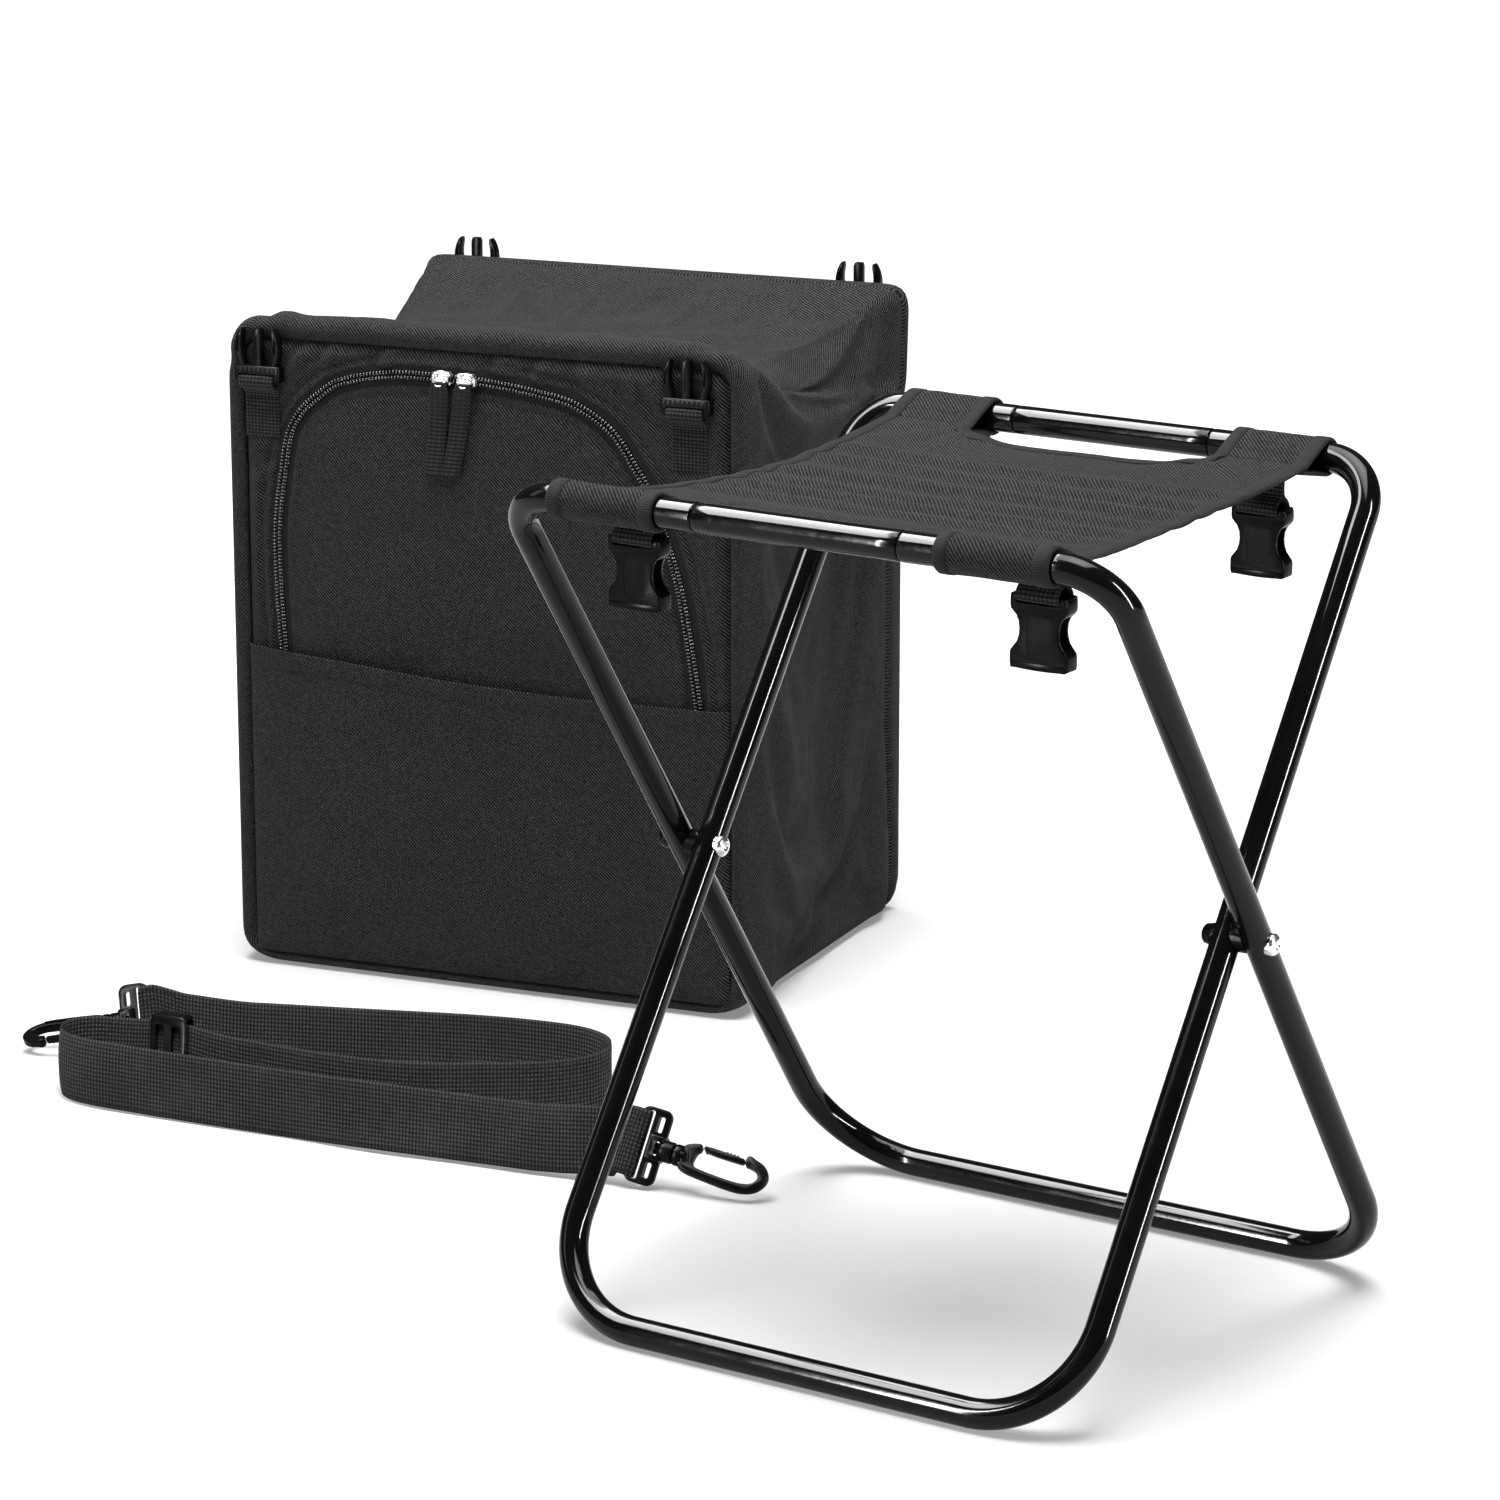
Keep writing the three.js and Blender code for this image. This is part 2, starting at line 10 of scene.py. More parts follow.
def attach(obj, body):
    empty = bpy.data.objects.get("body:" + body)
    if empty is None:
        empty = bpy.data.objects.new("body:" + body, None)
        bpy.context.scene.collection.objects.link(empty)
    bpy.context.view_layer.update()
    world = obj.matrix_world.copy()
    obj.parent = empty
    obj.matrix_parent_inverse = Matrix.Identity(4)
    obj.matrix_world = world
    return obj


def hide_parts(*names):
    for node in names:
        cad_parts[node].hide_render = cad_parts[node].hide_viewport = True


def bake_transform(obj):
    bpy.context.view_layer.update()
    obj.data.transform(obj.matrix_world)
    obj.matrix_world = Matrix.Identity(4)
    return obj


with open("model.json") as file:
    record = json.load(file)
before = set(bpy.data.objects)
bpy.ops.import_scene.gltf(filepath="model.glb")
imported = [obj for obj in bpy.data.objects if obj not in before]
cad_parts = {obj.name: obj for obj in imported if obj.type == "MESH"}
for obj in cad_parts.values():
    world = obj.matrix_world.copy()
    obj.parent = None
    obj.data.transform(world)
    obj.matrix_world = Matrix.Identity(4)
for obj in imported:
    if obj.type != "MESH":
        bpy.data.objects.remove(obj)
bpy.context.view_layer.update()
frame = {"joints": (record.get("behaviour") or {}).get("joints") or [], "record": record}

REC = frame["record"]
JOINT = {j["name"]: j for j in frame["joints"]}
SCENE = bpy.context.scene

# ---------------------------------------------------------------- places
# stool frame: origin on the floor under the pivot line; bag frame: origin at the middle of the bag's base. Both in mm.
STOOL = np.array([JOINT["frame_fold"]["pos_m"][0], JOINT["frame_fold"]["pos_m"][1], 0.0])
BAG = np.array(next(m["pos_m"] for m in REC["mounts"] if m["name"] == "bag_base"), float)
BAG[2] = 0.0
BX = np.array(JOINT["door_fold"]["axis"], float)
BX /= np.linalg.norm(BX)
BAG_YAW = math.atan2(BX[1], BX[0])
BY = np.array([-BX[1], BX[0], 0.0])


def st(p):
    """stool mm to row metres"""
    return np.asarray(p, float) / 1000.0 + STOOL


def bg(p):
    """bag mm to row metres"""
    p = np.asarray(p, float) / 1000.0
    q = np.empty_like(p)
    q[..., 0] = p[..., 0] * BX[0] + p[..., 1] * BY[0]
    q[..., 1] = p[..., 0] * BX[1] + p[..., 1] * BY[1]
    q[..., 2] = p[..., 2]
    return q + BAG


def bag_matrix():
    return Matrix.Translation(BAG) @ Matrix.Rotation(BAG_YAW, 4, "Z") @ Matrix.Scale(0.001, 4)


def stool_matrix():
    return Matrix.Translation(STOOL) @ Matrix.Scale(0.001, 4)


# ---------------------------------------------------------------- mesh helpers
def link(ob):
    SCENE.collection.objects.link(ob)
    return ob


def mesh_obj(name, verts, faces, uv=None, mat=None, smooth=True):
    """verts in row metres; uv is one (u, v) pair a vertex, in metres"""
    me = bpy.data.meshes.new(name)
    me.from_pydata([tuple(v) for v in np.asarray(verts, float)], [], [tuple(f) for f in faces])
    if uv is not None:
        lay = me.uv_layers.new(name="UVMap")
        idx = np.empty(len(me.loops), np.int32)
        me.loops.foreach_get("vertex_index", idx)
        lay.data.foreach_set("uv", np.asarray(uv, np.float32)[idx].ravel())
    me.validate()
    me.update()
    ob = link(bpy.data.objects.new(name, me))
    if smooth:
        me.shade_smooth()
    if mat is not None:
        me.materials.append(mat)
    return ob


def grid_faces(nu, nv, cu=False, cv=False, base=0):
    """faces of an nu by nv grid of points stored row by row (u fast)"""
    f = []
    for j in range(nv if cv else nv - 1):
        for i in range(nu if cu else nu - 1):
            a = base + j * nu + i
            b = base + j * nu + (i + 1) % nu
            c = base + ((j + 1) % nv) * nu + (i + 1) % nu
            d = base + ((j + 1) % nv) * nu + i
            f.append((a, b, c, d))
    return f


class Build:
    """collects grids into one mesh"""

    def __init__(self):
        self.v, self.uv, self.f, self.n = [], [], [], 0

    def grid(self, pts, uv=None, cu=False, cv=False, flip=False):
        nv, nu = pts.shape[:2]
        f = grid_faces(nu, nv, cu, cv, self.n)
        if flip:
            f = [q[::-1] for q in f]
        self.f += f
        self.v.append(pts.reshape(-1, 3))
        self.uv.append(np.zeros((nu * nv, 2)) if uv is None else np.asarray(uv, float).reshape(-1, 2))
        self.n += nu * nv
        return self.n - nu * nv

    def fan(self, ring, centre, flip=False, uv=(0.0, 0.0)):
        """closes a ring of vertex indices with a point"""
        self.v.append(np.asarray(centre, float).reshape(1, 3))
        self.uv.append(np.array([uv], float))
        c = self.n
        self.n += 1
        k = len(ring)
        for i in range(k):
            t = (ring[i], ring[(i + 1) % k], c)
            self.f.append(t[::-1] if flip else t)

    def obj(self, name, mat=None, weld=0.0, smooth=True):
        ob = mesh_obj(name, np.concatenate(self.v), self.f, np.concatenate(self.uv), mat, smooth)
        clean(ob, weld)
        return ob


def clean(ob, weld=0.0):
    bm = bmesh.new()
    bm.from_mesh(ob.data)
    if weld:
        bmesh.ops.remove_doubles(bm, verts=bm.verts, dist=weld)
    bmesh.ops.recalc_face_normals(bm, faces=bm.faces)
    bm.to_mesh(ob.data)
    bm.free()
    ob.data.update()


def apply_mods(ob):
    bpy.context.view_layer.update()
    dg = bpy.context.evaluated_depsgraph_get()
    me = bpy.data.meshes.new_from_object(ob.evaluated_get(dg), preserve_all_data_layers=True, depsgraph=dg)
    ob.modifiers.clear()
    old = ob.data
    ob.data = me
    me.name = ob.name
    if not old.users:
        bpy.data.meshes.remove(old)
    return ob


def solidify(ob, thick, offset=-1.0, even=True):
    m = ob.modifiers.new("Solidify", "SOLIDIFY")
    m.thickness, m.offset, m.use_even_offset = thick, offset, even
    return apply_mods(ob)


def subdivide(ob, levels=1):
    m = ob.modifiers.new("Subsurf", "SUBSURF")
    m.levels = m.render_levels = levels
    return apply_mods(ob)


def transform(ob, m):
    ob.data.transform(m)
    if m.determinant() < 0:
        ob.data.flip_normals()
    ob.data.update()
    return ob


def copy_of(ob, name, m):
    c = ob.copy()
    c.data = ob.data.copy()
    c.name = c.data.name = name
    link(c)
    return transform(c, m)


def prism(outline, y0, y1, bevel=0.6, seg=2, name="prism", extra=None):
    """outline of (x, z) extruded along y from y0 to y1, its rims rounded, in the caller's units"""
    bm = bmesh.new()
    vs = [bm.verts.new((x, y0, z)) for x, z in outline]
    face = bm.faces.new(vs)
    top = bmesh.ops.extrude_face_region(bm, geom=[face])
    for v in top["geom"]:
        if isinstance(v, bmesh.types.BMVert):
            v.co.y = y1
    bmesh.ops.recalc_face_normals(bm, faces=bm.faces)
    if bevel:
        rims = [e for e in bm.edges if abs(e.verts[0].co.y - e.verts[1].co.y) < 1e-6]
        bmesh.ops.bevel(bm, geom=rims, offset=bevel, segments=seg, profile=0.5, affect="EDGES", clamp_overlap=True)
    me = bpy.data.meshes.new(name)
    bm.to_mesh(me)
    bm.free()
    ob = link(bpy.data.objects.new(name, me))
    return ob


def rbox(lo, hi, bevel=0.6, seg=2, name="rbox"):
    bm = bmesh.new()
    bmesh.ops.create_cube(bm, size=1.0)
    for v in bm.verts:
        for k in range(3):
            v.co[k] = hi[k] if v.co[k] > 0 else lo[k]
    if bevel:
        bmesh.ops.bevel(bm, geom=list(bm.edges), offset=bevel, segments=seg, profile=0.5, affect="EDGES", clamp_overlap=True)
    me = bpy.data.meshes.new(name)
    bm.to_mesh(me)
    bm.free()
    return link(bpy.data.objects.new(name, me))


def boolean(ob, other, op="UNION"):
    m = ob.modifiers.new("Boolean", "BOOLEAN")
    m.operation, m.object, m.solver = op, other, "EXACT"
    apply_mods(ob)
    me = other.data
    bpy.data.objects.remove(other)
    bpy.data.meshes.remove(me)
    return ob


def auto_smooth(ob, angle=38.0):
    """smooth shading with the sharp rims kept"""
    ob.data.shade_smooth()
    bm = bmesh.new()
    bm.from_mesh(ob.data)
    lim = math.radians(angle)
    for e in bm.edges:
        e.smooth = not (len(e.link_faces) == 2 and e.calc_face_angle(0.0) > lim)
    bm.to_mesh(ob.data)
    bm.free()
    ob.data.update()
    return ob


def lathe(profile, n=40, axis="x"):
    """closed profile of (radius, along) turned about an axis, in mm; ends on the axis"""
    b = Build()
    ang = np.arange(n) * 2 * math.pi / n
    rows = []
    for r, a in profile:
        c, s = r * np.cos(ang), r * np.sin(ang)
        k = np.full(n, a)
        rows.append(np.stack([k, c, s] if axis == "x" else ([s, k, c] if axis == "y" else [c, s, k]), -1))
    pts = np.array(rows)
    b.grid(pts, cu=True)
    first, last = list(range(n)), list(range((len(profile) - 1) * n, len(profile) * n))
    b.fan(first, pts[0].mean(0), flip=True)
    b.fan(last, pts[-1].mean(0))
    return b


def rounded_rect(hx, hz, r, n=6):
    out = []
    for cx, cz, a0 in ((hx - r, hz - r, 0), (-hx + r, hz - r, 90), (-hx + r, -hz + r, 180), (hx - r, -hz + r, 270)):
        for i in range(n + 1):
            a = math.radians(a0 + 90 * i / n)
            out.append((cx + r * math.cos(a), cz + r * math.sin(a)))
    return out


def section(w, h, r, n=3):
    """rounded-rectangle bar section, (across, through)"""
    return rounded_rect(w / 2, h / 2, min(r, w / 2 - 1e-3, h / 2 - 1e-3), n)


def sweep(path, sec, side, closed=False, uvw=None):
    """carries a section (a, b) along a path; a runs along side x tangent's in-plane direction, b along side"""
    P = np.asarray(path, float)
    n = len(P)
    if closed:
        T = np.roll(P, -1, 0) - np.roll(P, 1, 0)
    else:
        T = np.gradient(P, axis=0)
    T /= np.linalg.norm(T, axis=1)[:, None]
    Bn = np.broadcast_to(np.asarray(side, float), P.shape).copy()
    Bn -= (Bn * T).sum(1)[:, None] * T
    Bn /= np.linalg.norm(Bn, axis=1)[:, None]
    A = np.cross(Bn, T)
    s = np.asarray(sec, float)
    pts = P[:, None, :] + A[:, None, :] * s[None, :, 0, None] + Bn[:, None, :] * s[None, :, 1, None]
    b = Build()
    L = np.concatenate([[0], np.cumsum(np.linalg.norm(np.diff(P, axis=0), axis=1))])
    per = np.concatenate([[0], np.cumsum(np.linalg.norm(np.diff(s, axis=0), axis=1))])
    uv = np.stack(np.broadcast_arrays(L[:, None], per[None, :]), -1)
    b.grid(pts, uv, cu=True, cv=closed)
    if not closed:
        m = len(s)
        b.fan(list(range(m)), P[0], flip=True)
        b.fan(list(range((n - 1) * m, n * m)), P[-1])
    return b


def arc_len(P):
    return np.concatenate([[0], np.cumsum(np.linalg.norm(np.diff(P, axis=0), axis=1))])


def resample(P, n):
    P = np.asarray(P, float)
    L = arc_len(P)
    t = np.linspace(0, L[-1], n)
    return np.stack([np.interp(t, L, P[:, k]) for k in range(P.shape[1])], -1)


def spline(P, n, closed=False):
    """centripetal Catmull-Rom through points, n samples evenly spaced by length"""
    P = np.asarray(P, float)
    if closed:
        Q = np.concatenate([P[-1:], P, P[:2]])
    else:
        Q = np.concatenate([2 * P[:1] - P[1:2], P, 2 * P[-1:] - P[-2:-1]])
    out = []
    for i in range(1, len(Q) - 2):
        p0, p1, p2, p3 = Q[i - 1], Q[i], Q[i + 1], Q[i + 2]
        d = [max(np.linalg.norm(b - a) ** 0.5, 1e-6) for a, b in ((p0, p1), (p1, p2), (p2, p3))]
        t0, t1 = 0.0, d[0]
        t2, t3 = t1 + d[1], t1 + d[1] + d[2]
        t = np.linspace(t1, t2, 24, endpoint=False)[:, None]
        a1 = (t1 - t) / (t1 - t0) * p0 + (t - t0) / (t1 - t0) * p1
        a2 = (t2 - t) / (t2 - t1) * p1 + (t - t1) / (t2 - t1) * p2
        a3 = (t3 - t) / (t3 - t2) * p2 + (t - t2) / (t3 - t2) * p3
        b1 = (t2 - t) / (t2 - t0) * a1 + (t - t0) / (t2 - t0) * a2
        b2 = (t3 - t) / (t3 - t1) * a2 + (t - t1) / (t3 - t1) * a3
        out.append((t2 - t) / (t2 - t1) * b1 + (t - t1) / (t2 - t1) * b2)
    out.append(P[:1] if closed else P[-1:])
    return resample(np.concatenate(out), n)


def fnoise(p, scale, seed=0.0, octaves=3):
    """smooth noise of mm points, about -1 to 1"""
    q = np.asarray(p, float).reshape(-1, 3) * scale + seed
    return np.array([noise.fractal(Vector(v), 0.9, 2.1, octaves, noise_basis="PERLIN_ORIGINAL") for v in q]).reshape(np.shape(p)[:-1])


def smooth01(x, a, b):
    t = np.clip((np.asarray(x, float) - a) / (b - a), 0, 1)
    return t * t * (3 - 2 * t)


def bump(x, c, w):
    return np.exp(-((np.asarray(x, float) - c) / w) ** 2)


def put(ob, body, replaces=()):
    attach(ob, body)
    if replaces:
        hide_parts(*replaces)
    return ob


# ---------------------------------------------------------------- materials
def new_mat(name):
    m = bpy.data.materials.new(name)
    m.use_nodes = True
    return m, m.node_tree, m.node_tree.nodes["Principled BSDF"]


def nd(nt, kind, **kw):
    n = nt.nodes.new("ShaderNode" + kind)
    for k, v in kw.items():
        setattr(n, k, v)
    return n


def wave(nt, vec, direction, period, distort=0.0, profile="SIN"):
    """bands of a period in metres across the coordinate"""
    w = nd(nt, "TexWave", wave_type="BANDS", bands_direction=direction, wave_profile=profile)
    w.inputs["Scale"].default_value = 2 * math.pi / ((10 if direction == "DIAGONAL" else 20) * period)
    w.inputs["Distortion"].default_value = distort
    w.inputs["Detail"].default_value = 1.0
    w.inputs["Detail Scale"].default_value = 2.0
    nt.links.new(vec, w.inputs["Vector"])
    return w.outputs["Fac"]


def noise_tex(nt, vec, scale, detail=3.0, rough=0.55):
    t = nd(nt, "TexNoise")
    t.inputs["Scale"].default_value, t.inputs["Detail"].default_value, t.inputs["Roughness"].default_value = scale, detail, rough
    nt.links.new(vec, t.inputs["Vector"])
    return t.outputs["Fac"]


def math_n(nt, op, a, b):
    n = nd(nt, "Math", operation=op)
    for s, v in zip(n.inputs, (a, b)):
        if isinstance(v, (int, float)):
            s.default_value = v
        else:
            nt.links.new(v, s)
    return n.outputs[0]


def remap(nt, fac, lo, hi, a=0.0, b=1.0):
    n = nd(nt, "MapRange")
    n.inputs["From Min"].default_value, n.inputs["From Max"].default_value = a, b
    n.inputs["To Min"].default_value, n.inputs["To Max"].default_value = lo, hi
    nt.links.new(fac, n.inputs["Value"])
    return n.outputs["Result"]


def ramp(nt, fac, stops):
    r = nd(nt, "ValToRGB")
    el = r.color_ramp.elements
    while len(el) < len(stops):
        el.new(0.5)
    for e, (p, c) in zip(el, stops):
        e.position, e.color = p, (*c, 1.0)
    nt.links.new(fac, r.inputs["Fac"])
    return r.outputs["Color"]


def bump_n(nt, p, height, strength, dist):
    b = nd(nt, "Bump")
    b.inputs["Strength"].default_value, b.inputs["Distance"].default_value = strength, dist
    nt.links.new(height, b.inputs["Height"])
    nt.links.new(b.outputs["Normal"], p.inputs["Normal"])
    return b


def grey(v, tint=0.0):
    return (v, v, v * (1 + tint))


def cloth_mat(name, dark, light, twill=0.0024, bump_d=0.0007, sheen=0.03):
    """twill polyester: diagonal wale over two sets of threads, with mottled dye and a dry sheen"""
    m, nt, p = new_mat(name)
    uv = nd(nt, "UVMap").outputs["UV"]
    ob = nd(nt, "TexCoord").outputs["Object"]
    diag = wave(nt, uv, "DIAGONAL", twill, 0.25)
    tx, ty = wave(nt, uv, "X", twill * 0.5, 0.2), wave(nt, uv, "Y", twill * 0.5, 0.2)
    fibre = noise_tex(nt, ob, 1500.0, 2.0)
    h = math_n(nt, "ADD", math_n(nt, "MULTIPLY", diag, 0.6), math_n(nt, "MULTIPLY", math_n(nt, "MULTIPLY", tx, ty), 0.35))
    h = math_n(nt, "ADD", h, math_n(nt, "MULTIPLY", fibre, 0.35))
    mottle = noise_tex(nt, ob, 26.0, 4.0, 0.6)
    slub = noise_tex(nt, ob, 540.0, 2.0, 0.6)
    c = math_n(nt, "ADD", math_n(nt, "MULTIPLY", h, 0.78), math_n(nt, "MULTIPLY", mottle, 0.14))
    c = math_n(nt, "ADD", c, math_n(nt, "MULTIPLY", slub, 0.6))
    nt.links.new(ramp(nt, c, [(0.68, grey(dark, 0.02)), (0.99, grey(light, 0.03))]), p.inputs["Base Color"])
    nt.links.new(remap(nt, math_n(nt, "ADD", fibre, mottle), 0.72, 0.95, 0.6, 1.4), p.inputs["Roughness"])
    p.inputs["Specular IOR Level"].default_value = 0.04
    p.inputs["Sheen Weight"].default_value = sheen
    p.inputs["Sheen Roughness"].default_value = 0.5
    bump_n(nt, p, h, 0.8, bump_d)
    return m


def web_mat(name, dark, light, rib=0.0017, col=0.0021, bump_d=0.0005, rough=(0.6, 0.85), swap=False):
    """webbing: weft ribs across (u runs along the tape) broken into cells by the warp"""
    m, nt, p = new_mat(name)
    uv = nd(nt, "UVMap").outputs["UV"]
    ob = nd(nt, "TexCoord").outputs["Object"]
    ribs = wave(nt, uv, "Y" if swap else "X", rib, 0.12)
    warp = wave(nt, uv, "X" if swap else "Y", col, 0.15)
    fibre = noise_tex(nt, ob, 1800.0, 2.0)
    cells = math_n(nt, "MULTIPLY", math_n(nt, "POWER", ribs, 0.7), remap(nt, warp, 0.35, 1.0))
    h = math_n(nt, "ADD", cells, math_n(nt, "MULTIPLY", fibre, 0.25))
    mottle = noise_tex(nt, ob, 40.0, 3.0)
    c = math_n(nt, "ADD", math_n(nt, "MULTIPLY", h, 0.75), math_n(nt, "MULTIPLY", mottle, 0.3))
    nt.links.new(ramp(nt, c, [(0.34, grey(dark)), (0.86, grey(light, 0.03))]), p.inputs["Base Color"])
    nt.links.new(remap(nt, fibre, rough[0], rough[1], 0.3, 0.7), p.inputs["Roughness"])
    p.inputs["Specular IOR Level"].default_value = 0.06
    p.inputs["Sheen Weight"].default_value = 0.03
    p.inputs["Sheen Roughness"].default_value = 0.5
    bump_n(nt, p, h, 0.8, bump_d)
    return m


def plastic_mat(name, dark, light, rough=(0.34, 0.48), grain=1400.0, bump_d=0.00006, spec=0.17):
    """moulded acetal: faint mould grain, polished a little where it is handled"""
    m, nt, p = new_mat(name)
    ob = nd(nt, "TexCoord").outputs["Object"]
    fine, broad = noise_tex(nt, ob, grain, 2.0), noise_tex(nt, ob, 70.0, 4.0)
    nt.links.new(ramp(nt, broad, [(0.3, grey(dark)), (0.75, grey(light, 0.03))]), p.inputs["Base Color"])
    nt.links.new(remap(nt, math_n(nt, "ADD", fine, broad), rough[0], rough[1], 0.7, 1.3), p.inputs["Roughness"])
    p.inputs["Specular IOR Level"].default_value = spec
    bump_n(nt, p, fine, 0.35, bump_d)
    return m


def enamel_mat():
    """stove enamel on steel tube: deep black, a faint orange peel, glossy"""
    m, nt, p = new_mat("enamel_black")
    ob = nd(nt, "TexCoord").outputs["Object"]
    peel, broad = noise_tex(nt, ob, 380.0, 2.0), noise_tex(nt, ob, 30.0, 4.0)
    nt.links.new(ramp(nt, broad, [(0.3, (0.0022, 0.0022, 0.0024)), (0.8, (0.0045, 0.0045, 0.0048))]), p.inputs["Base Color"])
    nt.links.new(remap(nt, math_n(nt, "ADD", peel, broad), 0.07, 0.13, 0.7, 1.3), p.inputs["Roughness"])
    p.inputs["Specular IOR Level"].default_value = 0.15
    bump_n(nt, p, peel, 0.12, 0.00008)
    return m


def metal_mat(name, dark, light, rough=(0.12, 0.28)):
    m, nt, p = new_mat(name)
    ob = nd(nt, "TexCoord").outputs["Object"]
    fine, broad = noise_tex(nt, ob, 900.0, 3.0), noise_tex(nt, ob, 120.0, 3.0)
    nt.links.new(ramp(nt, broad, [(0.3, grey(dark)), (0.75, grey(light, 0.02))]), p.inputs["Base Color"])
    nt.links.new(remap(nt, fine, rough[0], rough[1], 0.3, 0.7), p.inputs["Roughness"])
    p.inputs["Metallic"].default_value = 1.0
    bump_n(nt, p, fine, 0.2, 0.00003)
    return m


def foil_mat(name="foil_liner", shade_tone=1.0, metal=0.75, rough=(0.25, 0.42)):
    """silvered film lining, creased; a tone below 1 darkens its colour, used as painted shade"""
    m, nt, p = new_mat(name)
    ob = nd(nt, "TexCoord").outputs["Object"]
    crease, fine = noise_tex(nt, ob, 32.0, 5.0, 0.65), noise_tex(nt, ob, 300.0, 2.0)
    nt.links.new(ramp(nt, crease, [(0.3, (0.42 * shade_tone, 0.43 * shade_tone, 0.45 * shade_tone)), (0.75, (0.66 * shade_tone, 0.67 * shade_tone, 0.69 * shade_tone))]), p.inputs["Base Color"])
    nt.links.new(remap(nt, fine, rough[0], rough[1], 0.3, 0.7), p.inputs["Roughness"])
    p.inputs["Metallic"].default_value = metal
    bump_n(nt, p, crease, 0.6, 0.004)
    return m


CLOTH = cloth_mat("cloth_charcoal", 0.0012, 0.051)
SEATCLOTH = cloth_mat("seat_charcoal", 0.0012, 0.047)
TAPE = web_mat("binding_black", 0.006, 0.024, 0.0011, 0.0013, 0.0003)
WEB = web_mat("webbing_black", 0.0010, 0.042, 0.0022, 0.0025, 0.0010)
PULLTAPE = web_mat("pull_tape", 0.005, 0.022, 0.0026, 0.004, 0.0006)
ZIPTAPE = web_mat("zip_tape", 0.004, 0.013, 0.0008, 0.0008, 0.0002)
PLASTIC = plastic_mat("moulded_black", 0.0022, 0.0045, (0.18, 0.27), spec=0.045)
COIL = plastic_mat("zip_coil", 0.007, 0.016, (0.16, 0.26), 2500.0, spec=0.4)
THREAD = web_mat("sewing_thread", 0.012, 0.03, 0.0005, 0.0005, 0.0001, (0.5, 0.7))
ENAMEL = enamel_mat()
CHROME = metal_mat("bright_steel", 0.62, 0.82)
FOIL = foil_mat()
# the door's lining is the same foil with its colour darkened to 0.17 as painted shade against the strong light on the
# open door; it is also less metallic and rougher
DOOR_FOIL_PAINTED_SHADE = foil_mat("door_foil_painted_shade", 0.17, 0.55, (0.36, 0.52))
BOARD = plastic_mat("board_grey", 0.03, 0.05, (0.5, 0.65), 600.0, 0.0002)

# ---------------------------------------------------------------- camera
cam = bpy.data.objects.new("camera", bpy.data.cameras.new("camera"))
link(cam)
cam.data.lens, cam.data.sensor_width, cam.data.sensor_fit = 124.8, 36.0, "HORIZONTAL"
cam.data.clip_start, cam.data.clip_end = 0.1, 60.0
_y, _p = math.radians(-33.64249212), math.radians(14.46846059)
_f = Vector((math.sin(_y) * math.cos(_p), math.cos(_y) * math.cos(_p), -math.sin(_p)))
_r = Vector((math.cos(_y), -math.sin(_y), 0.0))
_u = _r.cross(_f)
_c = st([1379.72312163, -2275.01576759, 992.19954259])
cam.matrix_world = Matrix(((_r.x, _u.x, -_f.x, _c[0]), (_r.y, _u.y, -_f.y, _c[1]), (_r.z, _u.z, -_f.z, _c[2]), (0, 0, 0, 1)))
SCENE.camera = cam

# ---------------------------------------------------------------- floor and light
fm, fnt, fp = new_mat("floor_white_painted_glow")
fo = nd(fnt, "TexCoord").outputs["Object"]
fnt.links.new(ramp(fnt, noise_tex(fnt, fo, 3.0, 2.0), [(0.3, (0.50, 0.50, 0.50)), (0.7, (0.51, 0.51, 0.51))]), fp.inputs["Base Color"])
fp.inputs["Roughness"].default_value = 0.9
fp.inputs["Specular IOR Level"].default_value = 0.1
# painted light: the floor glows, its emission 0.24 within 0.4 m of the origin and rising to 1.06 by 1.6 m, which lifts
# the shadows near the stool and bag and whitens the far floor
away = nd(fnt, "VectorMath", operation="LENGTH")
fnt.links.new(fo, away.inputs[0])
fp.inputs["Emission Color"].default_value = (1.0, 1.0, 1.0, 1.0)
fnt.links.new(remap(fnt, away.outputs["Value"], 0.24, 1.06, 0.40, 1.6), fp.inputs["Emission Strength"])
floor = mesh_obj("floor", [(-30, -30, -0.0004), (30, -30, -0.0004), (30, 30, -0.0004), (-30, 30, -0.0004)], [(0, 1, 2, 3)], None, fm, False)

world = bpy.data.worlds.new("world")
SCENE.world = world
world.use_nodes = True
world.node_tree.nodes["Background"].inputs["Color"].default_value = (1.0, 1.0, 1.0, 1.0)
world.node_tree.nodes["Background"].inputs["Strength"].default_value = 0.08
SCENE.view_settings.view_transform = "Standard"
SCENE.view_settings.look = "None"


def area(name, at, to, size, power, spread=180.0):
    l = bpy.data.lights.new(name, "AREA")
    l.shape, l.size, l.size_y = "RECTANGLE", size[0], size[1]
    l.energy = power
    l.spread = math.radians(spread)
    o = link(bpy.data.objects.new(name, l))
    o.location = at
    o.rotation_mode = "QUATERNION"
    o.rotation_quaternion = (Vector(to) - Vector(at)).to_track_quat("-Z", "Y")
    return o


area("top_soft", (0.0, -0.1, 2.7), (0, 0, 0.2), (2.2, 2.2), 60, 90.0)
area("key_left", (-1.9, -1.5, 1.5), (0, 0, 0.2), (0.5, 1.3), 5)
# these show only as glints
for o in (area("strip_left", (-0.9, -2.6, 0.9), (0.1, 0, 0.25), (0.09, 1.7), 125), area("strip_right", (2.3, -0.1, 0.9), (0.1, 0, 0.25), (0.10, 1.8), 145),
          area("top_glint", (-0.98, -0.6, 2.4), (0.29, -0.6, 0.45), (2.4, 0.8), 235)):
    o.visible_diffuse = False

